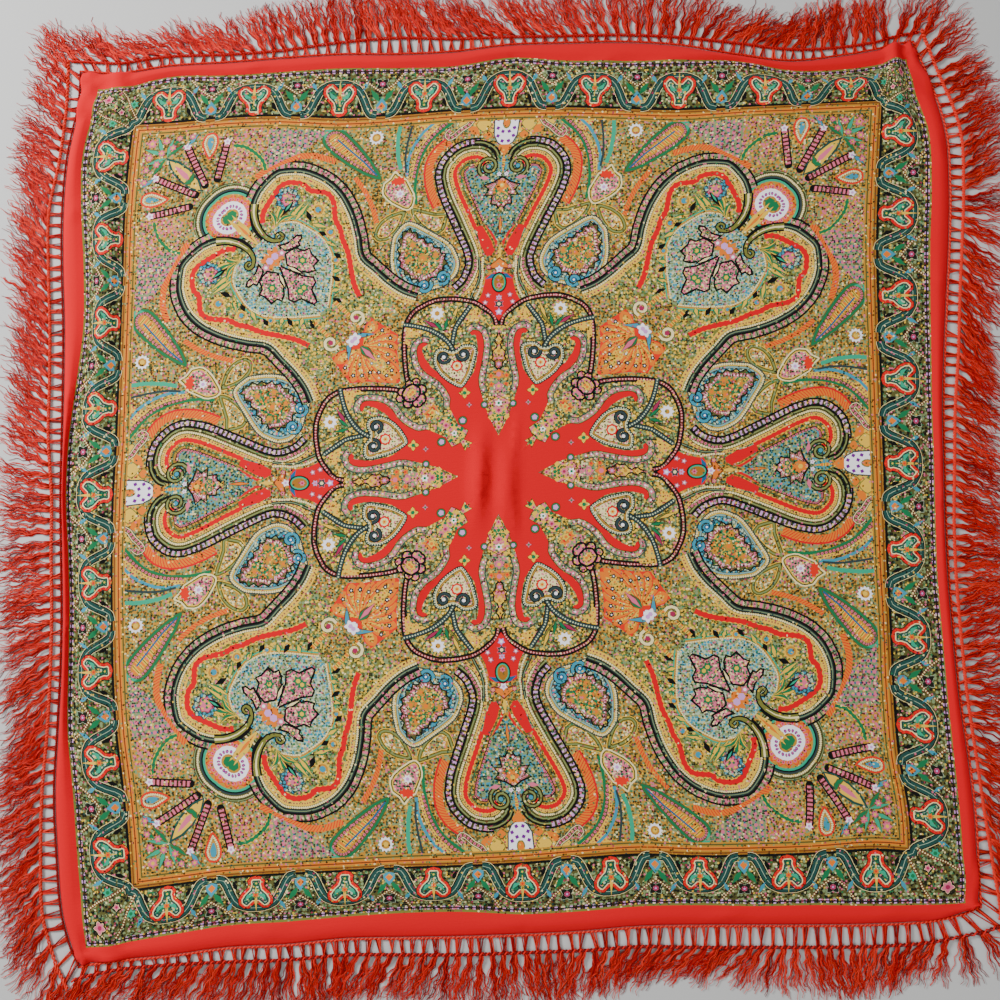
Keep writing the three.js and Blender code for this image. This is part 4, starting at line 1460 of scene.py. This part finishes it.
def put_attributes(mesh, flat, faces, placed, dyes, marks, flecks):
    """Store the pattern on the mesh, for the cloth's material."""
    add = mesh.attributes.new
    add("place", "FLOAT_VECTOR", "CORNER").data.foreach_set("vector", placed.astype(np.float32).ravel())
    add("mark", "FLOAT_VECTOR", "FACE").data.foreach_set("vector", marks.astype(np.float32).ravel())
    add("fleck", "FLOAT", "FACE").data.foreach_set("value", flecks.astype(np.float32))
    for k, name in enumerate(("ground", "first", "second")):
        add(name, "FLOAT_COLOR", "FACE").data.foreach_set("color", dyes[:, k].astype(np.float32).ravel())
    flat_map = mesh.uv_layers.new(name="OFBake")
    flat_map.data.foreach_set("uv", (flat[faces.ravel()] / (2 * CUT) + 0.5).astype(np.float32).ravel())


def plain_dress(names, corners):
    """The same four values for triangles that carry one plain or flowered dye."""
    kind, *dyes, period, share, fleck = STYLES[names]
    count = len(corners)
    placed = np.zeros((count, 3, 3))
    placed[..., :2] = corners
    placed[..., 2] = kind
    colours = np.tile([DYES[name] + (1.0,) for name in dyes], (count, 1, 1))
    return placed, colours, np.tile([period, share, 1e3], (count, 1)), np.full(count, fleck)


def cloth_piece():
    starts, ends = drawn_segments()
    extra = np.concatenate([grid_points(GRID), close_points()])
    points, triangles = triangulate(starts, ends, extra, HEM_STEP)
    top = topmost(points[triangles].mean(axis=1))
    dress_up = dress(points, triangles, top)
    flat, faces, turned = mirrored(points, triangles)
    order = np.where(turned[:, None], [0, 2, 1], [0, 1, 2])
    faces = np.take_along_axis(faces, order, axis=1)
    placed = np.take_along_axis(np.tile(dress_up[0], (8, 1, 1)), order[..., None], axis=1)
    parts = [
        (placed, np.tile(dress_up[1], (8, 1, 1)), np.tile(dress_up[2], (8, 1)), np.tile(dress_up[3], 8))
    ]

    under_flat, under_faces, turned = mirrored(*underside())
    order = np.where(turned[:, None], [0, 1, 2], [0, 2, 1])
    under_faces = np.take_along_axis(under_faces, order, axis=1)
    middles = under_flat[under_faces].mean(axis=1)
    in_hem = np.max(np.abs(middles), axis=1) > PRINT
    for chosen, style in ((~in_hem, "back"), (in_hem, "red")):
        parts.append(plain_dress(style, under_flat[under_faces[chosen]]))
    under_faces = np.concatenate([under_faces[~in_hem], under_faces[in_hem]]) + len(flat)
    count = len(flat)
    z = np.concatenate([height(flat, True), height(under_flat, False)])
    flat = np.concatenate([flat, under_flat])
    rim = rim_faces(flat, count)
    parts.append(plain_dress("red", flat[rim]))
    faces = np.concatenate([faces, under_faces, rim])

    x, y = laid(flat[:, 0], flat[:, 1])
    mesh = bpy.data.meshes.new("printed_shawl")
    mesh.from_pydata((np.stack([x, y, z], axis=1) * MM).tolist(), [], faces.tolist())
    put_attributes(mesh, flat, faces, *(np.concatenate(both) for both in zip(*parts)))
    mesh.shade_smooth()
    piece = bpy.data.objects.new("printed_shawl", mesh)
    bpy.context.scene.collection.objects.link(piece)
    return piece


# The fringe, in millimetres
RUNGS = 80  # on each side
END_GAP = 1.6  # kept free at each end of a side
EDGE_SPAN = 12  # half the stretch of edge that a rung stands square to
CORNER_TURN = 46  # length over which the fringe turns to the corner's diagonal
CHAIN = 4.6  # width of the second row of stitches
LOCK_THREADS = 21
LOCK_STEPS = 13
RUNG_THREADS = 7
THREAD = 0.40  # half its thickness
FLOOR_GAP = 0.35


def ease(share):
    s = np.clip(share, 0, 1)
    return s * s * (3 - 2 * s)


class Side:
    """One side of the laid cloth, measured along the floor from its left or near end."""

    def __init__(self, rows, place, turn):
        self.rows = rows
        self.turn = turn
        self.along = np.linspace(-CUT, CUT, 401)
        self.points = np.stack(laid(*place(self.along)), axis=1)
        steps = np.linalg.norm(np.diff(self.points, axis=0), axis=1)
        self.reached = np.concatenate([[0], np.cumsum(steps)])
        self.length = self.reached[-1]
        self.corners = [None, None]  # the ways out at its two ends

    def point(self, reached):
        return np.stack([np.interp(reached, self.reached, self.points[:, k]) for k in (0, 1)], axis=-1)

    def value(self, name, reached):
        return read(self.rows[name], np.interp(reached, self.reached, self.along))

    def square_out(self, reached):
        a = self.point(np.maximum(0, reached - EDGE_SPAN))
        b = self.point(np.minimum(self.length, reached + EDGE_SPAN))
        way = (b - a) / np.linalg.norm(b - a, axis=-1, keepdims=True)
        return np.stack([-way[..., 1], way[..., 0]], axis=-1) * self.turn

    def corner_turn(self, reached):
        left = np.minimum(reached, self.length - reached)
        return ease((CORNER_TURN - left) / CORNER_TURN)

    def way_out(self, reached):
        """Square to the edge, but turning to the diagonal towards each corner."""
        turned = self.corner_turn(reached)[..., None]
        nearest = np.where((reached < self.length / 2)[..., None], self.corners[0], self.corners[1])
        return self.square_out(reached) * (1 - turned) + nearest * turned

    def out_from(self, reached, distance):
        return self.point(reached) + self.way_out(reached) * np.asarray(distance)[..., None]


SIDES = {
    "far": Side(FAR_SIDE, lambda t: (t, t * 0 + CUT), 1),
    "near": Side(NEAR_SIDE, lambda t: (t, t * 0 - CUT), -1),
    "left": Side(LEFT_SIDE, lambda t: (t * 0 - CUT, t), 1),
    "right": Side(RIGHT_SIDE, lambda t: (t * 0 + CUT, t), -1),
}


def join_corners():
    """Give two sides that meet one way out between them."""
    for first, first_end, second, second_end in (
        ("far", 0, "left", 1),
        ("far", 1, "right", 1),
        ("near", 0, "left", 0),
        ("near", 1, "right", 0),
    ):
        one, two = SIDES[first], SIDES[second]
        way = one.square_out(np.float64(one.length * first_end)) + two.square_out(
            np.float64(two.length * second_end)
        )
        one.corners[first_end] = way
        two.corners[second_end] = way


join_corners()


def tubes(lines, radius, sides=3):
    """Thin closed tubes round centrelines of shape (threads, steps, 3)."""
    count, steps, _ = lines.shape
    radius = np.broadcast_to(radius, (count, steps))
    ahead = np.gradient(lines, axis=1)
    ahead /= np.linalg.norm(ahead, axis=2, keepdims=True) + 1e-9
    across = np.cross(ahead, [0.0, 0.0, 1.0])
    across /= np.linalg.norm(across, axis=2, keepdims=True) + 1e-9
    up = np.cross(across, ahead)
    turn = np.arange(sides) * 2 * np.pi / sides + np.pi / 2
    points = lines[:, :, None] + radius[:, :, None, None] * (
        across[:, :, None] * np.cos(turn)[:, None] + up[:, :, None] * np.sin(turn)[:, None]
    )
    first = np.arange(count * steps).reshape(count, steps)[:, :-1, None] * sides
    k = np.arange(sides)
    after = (k + 1) % sides
    walls = np.stack([first + k, first + after, first + after + sides, first + k + sides], axis=-1)
    ends = np.arange(count) * steps * sides
    faces = [tuple(quad) for quad in walls.reshape(-1, 4).tolist()]
    faces += [tuple(e + k[::-1]) for e in ends]
    faces += [tuple(e + (steps - 1) * sides + k) for e in ends]
    return points.reshape(-1, 3), faces


def lock_lines(side):
    """The loose threads below the second row of stitches."""
    room = side.length - 2 * END_GAP
    places = END_GAP + (np.arange(RUNGS) + 0.5) * room / RUNGS
    n = RUNGS * LOCK_THREADS
    lock = np.repeat(np.arange(RUNGS), LOCK_THREADS)
    across = rng.uniform(-1, 1, n)
    reached = np.clip(places[lock] + 2.6 * across, 0, side.length)
    root = side.out_from(reached, side.value("chain", reached) + CHAIN / 2 - 1.0)
    way = side.way_out(places[lock])
    start = np.arctan2(way[:, 1], way[:, 0])
    open_ = 1 - side.corner_turn(places[lock])
    lock_sway = rng.normal(0, 6, RUNGS)[lock]
    lean = (side.value("lean", places[lock]) + lock_sway) * open_ + rng.normal(0, 7, n) + 5 * across
    bend = side.value("bend", places[lock]) * open_ + rng.normal(0, 16, n)
    reach = side.value("reach", places[lock]) * rng.uniform(0.74, 1.1, n)
    q = np.linspace(0, 1, LOCK_STEPS)
    angle = start[:, None] - side.turn * np.radians(lean[:, None] + bend[:, None] * q)
    step = reach[:, None] / (LOCK_STEPS - 1)
    way = np.stack([np.cos(angle), np.sin(angle)], axis=-1)
    path = np.cumsum(way * step[..., None], axis=1) - way[:, :1] * step[..., None]
    aside = np.stack([-way[..., 1], way[..., 0]], axis=-1)
    length = reach[:, None] * q
    lock_phase = rng.uniform(0, 2 * np.pi, RUNGS)[lock]
    lock_wave = rng.uniform(15, 24, RUNGS)[lock]
    own_phase = rng.uniform(0, 2 * np.pi, n)
    own_wave = rng.uniform(6, 11, n)
    wave = 1.3 * np.sin(2 * np.pi * length / lock_wave[:, None] + lock_phase[:, None])
    wave += 0.55 * np.sin(2 * np.pi * length / own_wave[:, None] + own_phase[:, None])
    path = path + aside * (wave * ease(q * 4))[..., None]
    flat = root[:, None] + path
    layer = rng.uniform(0, 2.2, n)
    lift = FLOOR_GAP + layer[:, None] * (1 - 0.35 * q) + 1.2 * (1 - ease(q * 3))
    return np.concatenate([flat, lift[..., None]], axis=2)


def rung_lines(side):
    """Bundles of threads from the hem to the second row of stitches."""
    room = side.length - 2 * END_GAP
    places = END_GAP + (np.arange(RUNGS) + 0.5) * room / RUNGS
    n = RUNGS * RUNG_THREADS
    rung = np.repeat(np.arange(RUNGS), RUNG_THREADS)
    near = places[rung] + rng.uniform(-4.4, 4.4, n)
    slant = rng.normal(0, 1.2, RUNGS)[rung]
    far = places[rung] + slant + rng.uniform(-1.9, 1.9, n)
    q = np.linspace(0, 1, 6)
    reached = near[:, None] + (far - near)[:, None] * q
    reached = np.clip(reached, 0, side.length)
    distance = 0.6 + (side.value("chain", reached) + 0.5) * q
    flat = side.out_from(reached, distance)
    lift = FLOOR_GAP + 0.5 + rng.uniform(0, 1.3, n)[:, None] + 0.5 * np.sin(np.pi * q)
    return np.concatenate([flat, lift[..., None]], axis=2)


def twist_lines(side, distance, radius, pitch, strands=2, step=1.3):
    """Strands twisted round each other along the side."""
    count = int(side.length / step)
    reached = np.linspace(0.4, side.length - 0.4, count)
    phase = np.arange(strands)[:, None] * 2 * np.pi / strands
    turn = 2 * np.pi * reached / pitch + phase
    out = distance(reached) + radius * np.cos(turn)
    flat = side.out_from(np.broadcast_to(reached, turn.shape), out)
    lift = FLOOR_GAP + radius + 0.7 + radius * np.sin(turn)
    return np.concatenate([flat, lift[..., None]], axis=2)


def fringe_piece(name):
    side = SIDES[name]
    parts = [
        (lock_lines(side), THREAD * np.linspace(1.5, 0.75, LOCK_STEPS), 3),
        (rung_lines(side), THREAD * 1.7, 3),
        (twist_lines(side, lambda r: 1.5 + 0 * r, 0.75, 4.6), 0.8, 4),
        (twist_lines(side, lambda r: side.value("chain", r), 1.25, 6.5), 1.0, 4),
    ]
    points = []
    faces = []
    tones = []
    total = 0
    for lines, radius, sides in parts:
        some, quads = tubes(lines, radius, sides)
        points.append(some)
        faces += [tuple(total + i for i in face) for face in quads]
        total += len(some)
        tones.append(np.repeat(rng.uniform(0, 1, len(lines)), lines.shape[1] * sides))
    mesh = bpy.data.meshes.new(f"fringe_threads_{name}")
    mesh.from_pydata((np.concatenate(points) * MM).tolist(), [], faces)
    tone = mesh.attributes.new("tone", "FLOAT", "POINT")
    tone.data.foreach_set("value", np.concatenate(tones).astype(np.float32))
    mesh.shade_smooth()
    piece = bpy.data.objects.new(f"fringe_threads_{name}", mesh)
    bpy.context.scene.collection.objects.link(piece)
    return piece


class Wire:
    """A number in a shader, so that a pattern can be written as a sum."""

    def __init__(self, tree, socket):
        self.tree = tree
        self.socket = socket

    def math(self, operation, *others):
        node = self.tree.nodes.new("ShaderNodeMath")
        node.operation = operation
        for slot, value in zip(node.inputs, (self, *others)):
            if isinstance(value, Wire):
                self.tree.links.new(value.socket, slot)
            else:
                slot.default_value = value
        return Wire(self.tree, node.outputs[0])

    def __add__(self, other):
        return self.math("ADD", other)

    def __sub__(self, other):
        return self.math("SUBTRACT", other)

    def __mul__(self, other):
        return self.math("MULTIPLY", other)

    def __truediv__(self, other):
        return self.math("DIVIDE", other)

    def __lt__(self, other):
        return self.math("LESS_THAN", other)

    def __gt__(self, other):
        return self.math("GREATER_THAN", other)

    def is_kind(self, kind):
        return self.math("COMPARE", float(kind), 0.5)

    def fract(self):
        return self.math("FRACT")

    def size(self):
        return self.math("ABSOLUTE")

    def cosine(self):
        return self.math("COSINE")


def length(a, b):
    return (a * a + b * b).math("SQRT")


def attribute(tree, name):
    node = tree.nodes.new("ShaderNodeAttribute")
    node.attribute_name = name
    return node


def split(tree, node):
    """The three numbers of an attribute."""
    parts = tree.nodes.new("ShaderNodeSeparateXYZ")
    tree.links.new(node.outputs["Vector"], parts.inputs[0])
    return [Wire(tree, socket) for socket in parts.outputs]


def together(tree, x, y, z=None):
    node = tree.nodes.new("ShaderNodeCombineXYZ")
    for slot, value in zip(node.inputs, (x, y, z)):
        if isinstance(value, Wire):
            tree.links.new(value.socket, slot)
        elif value is not None:
            slot.default_value = value
    return node.outputs[0]


def mix_colour(tree, share, a, b):
    node = tree.nodes.new("ShaderNodeMix")
    node.data_type = "RGBA"
    for slot, value in ((node.inputs["Factor"], share), (node.inputs[6], a), (node.inputs[7], b)):
        if isinstance(value, Wire):
            tree.links.new(value.socket, slot)
        elif isinstance(value, bpy.types.NodeSocket):
            tree.links.new(value, slot)
        else:
            slot.default_value = value
    return node.outputs[2]


def scattered(tree, vector, scale, spread=1.0):
    """Points scattered over the cloth: how far the nearest one is, and its own number."""
    node = tree.nodes.new("ShaderNodeTexVoronoi")
    node.voronoi_dimensions = "2D"
    node.inputs["Scale"].default_value = scale
    node.inputs["Randomness"].default_value = spread
    tree.links.new(vector, node.inputs["Vector"])
    number = tree.nodes.new("ShaderNodeSeparateColor")
    tree.links.new(node.outputs["Color"], number.inputs[0])
    return Wire(tree, node.outputs["Distance"]), [Wire(tree, s) for s in number.outputs]


def pattern_masks(tree):
    """Where the two further dyes lie over the ground."""
    s, t, kind = split(tree, attribute(tree, "place"))
    period, share, half = split(tree, attribute(tree, "mark"))
    cell = (s / period).fract() - 0.5
    along = cell * period
    out = length(along, t)
    turn = along.math("ARCTAN2", t)
    none = s * 0.0
    petals = share * ((turn * 5.0).cosine() * 0.22 + 0.85)
    reach = length(s, t)
    ring = share * (((s.math("ARCTAN2", t)) * period).cosine() * 0.2 + 0.85)
    near, (pick, _, _) = scattered(tree, together(tree, s / period, t / period), 1.0, 0.8)
    row = (t / period).math("FLOOR")
    shifted = (s / period + row * 0.5).fract() - 0.5
    across = (t / period).fract() - 0.5
    wave = Wire(tree, none.socket) + 1.0 - share * (cell * math.pi).cosine().size()
    masks = {
        BEADS: (out < share, out < share * 0.42),
        BLOCKS: (cell.size() < share, cell.size() > 0.43),
        SCALLOPS: (t.size() > half * wave, out < half * 0.3),
        LINES: (t.size() > half - share, t.size() < share * 0.5),
        BLOSSOMS: (out < petals, out < share * 0.36),
        FLORETS: (near < share, (near < share) * (pick > 0.5)),
        ROUND: (reach < ring, reach < share * 0.36),
        LATTICE: (length(shifted, across) < share, (shifted.size() > 0.34) * (across.size() < 0.16)),
        OBLIQUE: ((s / period + t / period * 0.7).fract() < share, none),
        VEINS: ((s / period - t.size() / period * 1.3).fract() < share, t.size() < 0.35),
    }
    first, second = none, none
    for number, (one, two) in masks.items():
        chosen = kind.is_kind(number)
        first = first + one * chosen
        second = second + two * chosen
    return first, second


FLECKS = [
    (0.00, "black"),
    (0.20, "olive"),
    (0.32, "brown"),
    (0.38, "sage"),
    (0.50, "yellow"),
    (0.60, "pink"),
    (0.68, "teal"),
    (0.77, "green"),
    (0.85, "cream"),
    (0.95, "rose"),
]


def flecked(tree, colour):
    """Small flecks of many dyes, as the finest lines of the print look from afar."""
    flat = attribute(tree, "OFBake").outputs["Vector"]
    near, (pick, chance, _) = scattered(tree, flat, 430.0)
    dyes = tree.nodes.new("ShaderNodeValToRGB")
    dyes.color_ramp.interpolation = "CONSTANT"
    stops = dyes.color_ramp.elements
    stops[0].position, stops[0].color = FLECKS[0][0], DYES[FLECKS[0][1]] + (1,)
    stops[1].position, stops[1].color = FLECKS[1][0], DYES[FLECKS[1][1]] + (1,)
    for position, name in FLECKS[2:]:
        stops.new(position).color = DYES[name] + (1,)
    tree.links.new(pick.socket, dyes.inputs["Fac"])
    amount = Wire(tree, attribute(tree, "fleck").outputs["Fac"])
    here = (chance < amount * 0.6) * (near < 0.5) * 0.9
    return mix_colour(tree, here, colour, dyes.outputs["Color"])


def print_material():
    material = bpy.data.materials.new("printed_cloth_dyed")
    material.use_nodes = True
    tree = material.node_tree
    shader = tree.nodes["Principled BSDF"]
    first, second = pattern_masks(tree)
    dyes = [attribute(tree, name).outputs["Color"] for name in ("ground", "first", "second")]
    colour = mix_colour(tree, first, dyes[0], dyes[1])
    colour = mix_colour(tree, second, colour, dyes[2])
    colour = flecked(tree, colour)
    tree.links.new(colour, shader.inputs["Base Color"])
    weave(tree, shader)
    shader.inputs["Roughness"].default_value = 0.85
    shader.inputs["Specular IOR Level"].default_value = 0.12
    shader.inputs["Sheen Weight"].default_value = 0.03
    return material


def weave(tree, shader):
    """Slight slubs of the yarn, as a bump of noise stretched one way."""
    flat = attribute(tree, "OFBake").outputs["Vector"]
    slubs = tree.nodes.new("ShaderNodeTexNoise")
    slubs.inputs["Scale"].default_value = 90.0
    slubs.inputs["Detail"].default_value = 5.0
    stretched = tree.nodes.new("ShaderNodeMapping")
    stretched.inputs["Scale"].default_value = (1.0, 7.0, 1.0)
    tree.links.new(flat, stretched.inputs["Vector"])
    tree.links.new(stretched.outputs[0], slubs.inputs["Vector"])
    bump = tree.nodes.new("ShaderNodeBump")
    bump.inputs["Strength"].default_value = 0.35
    bump.inputs["Distance"].default_value = 0.0006
    tree.links.new(slubs.outputs["Fac"], bump.inputs["Height"])
    tree.links.new(bump.outputs["Normal"], shader.inputs["Normal"])


def thread_material():
    material = bpy.data.materials.new("fringe_thread_dyed")
    material.use_nodes = True
    tree = material.node_tree
    shader = tree.nodes["Principled BSDF"]
    tone = tree.nodes.new("ShaderNodeValToRGB")
    tree.links.new(attribute(tree, "tone").outputs["Fac"], tone.inputs["Fac"])
    stops = tone.color_ramp.elements
    stops[0].position = 0.0
    stops[0].color = (0.16, 0.0005, 0.001, 1)
    stops[1].position = 1.0
    stops[1].color = (0.85, 0.05, 0.02, 1)
    middle = stops.new(0.5)
    middle.color = (0.58, 0.002, 0.002, 1)
    tree.links.new(tone.outputs["Color"], shader.inputs["Base Color"])
    shader.inputs["Roughness"].default_value = 0.6
    shader.inputs["Specular IOR Level"].default_value = 0.2
    return material


CAMERA_TILT = 5.5  # degrees
CAMERA_DISTANCE = 1200  # millimetres, a guess
VIEW_WIDTH = 1100  # millimetres, at that distance
SENSOR = 36
FLOOR_HALF = 4.0


def place_camera():
    """Where the photograph was taken from, as judged from it: nearly overhead."""
    tilt = math.radians(CAMERA_TILT)
    distance = CAMERA_DISTANCE * MM
    data = bpy.data.cameras.new("camera")
    data.lens = SENSOR * CAMERA_DISTANCE / VIEW_WIDTH
    camera = bpy.data.objects.new("camera", data)
    camera.location = (
        -MIDDLE[0] * MM,
        -MIDDLE[1] * MM - distance * math.sin(tilt),
        distance * math.cos(tilt),
    )
    camera.rotation_euler = (tilt, 0, 0)
    bpy.context.scene.collection.objects.link(camera)
    bpy.context.scene.camera = camera


def place_floor():
    data = bpy.data.meshes.new("floor")
    half = FLOOR_HALF
    data.from_pydata(
        [(-half, -half, 0), (half, -half, 0), (half, half, 0), (-half, half, 0)], [], [(0, 1, 2, 3)]
    )
    floor = bpy.data.objects.new("floor", data)
    bpy.context.scene.collection.objects.link(floor)
    material = bpy.data.materials.new("floor")
    material.use_nodes = True
    shader = material.node_tree.nodes["Principled BSDF"]
    shader.inputs["Base Color"].default_value = (0.5, 0.5, 0.49, 1)
    shader.inputs["Roughness"].default_value = 0.7
    data.materials.append(material)


def place_light(name, place, size, power, colour=(1, 1, 1)):
    data = bpy.data.lights.new(name, "AREA")
    data.size = size
    data.energy = power
    data.color = colour
    lamp = bpy.data.objects.new(name, data)
    lamp.location = place
    lamp.rotation_euler = (-Vector(place)).to_track_quat("-Z", "Y").to_euler()
    bpy.context.scene.collection.objects.link(lamp)


def place_lights():
    place_light("key", (-1.8, 0.9, 1.35), 0.7, 84)
    place_light("fill", (1.4, -1.2, 1.9), 2.2, 16)
    world = bpy.data.worlds.new("studio")
    world.use_nodes = True
    background = world.node_tree.nodes["Background"]
    background.inputs["Color"].default_value = (1, 1, 1, 1)
    background.inputs["Strength"].default_value = 0.52
    bpy.context.scene.world = world


place_camera()
place_floor()
place_lights()

cloth = cloth_piece()
cloth.data.materials.append(print_material())
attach(cloth, "root")
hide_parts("cloth")

thread = thread_material()
for side_name in SIDES:
    fringe = fringe_piece(side_name)
    fringe.data.materials.append(thread)
    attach(fringe, "root")
    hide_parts(f"fringe_{side_name}")
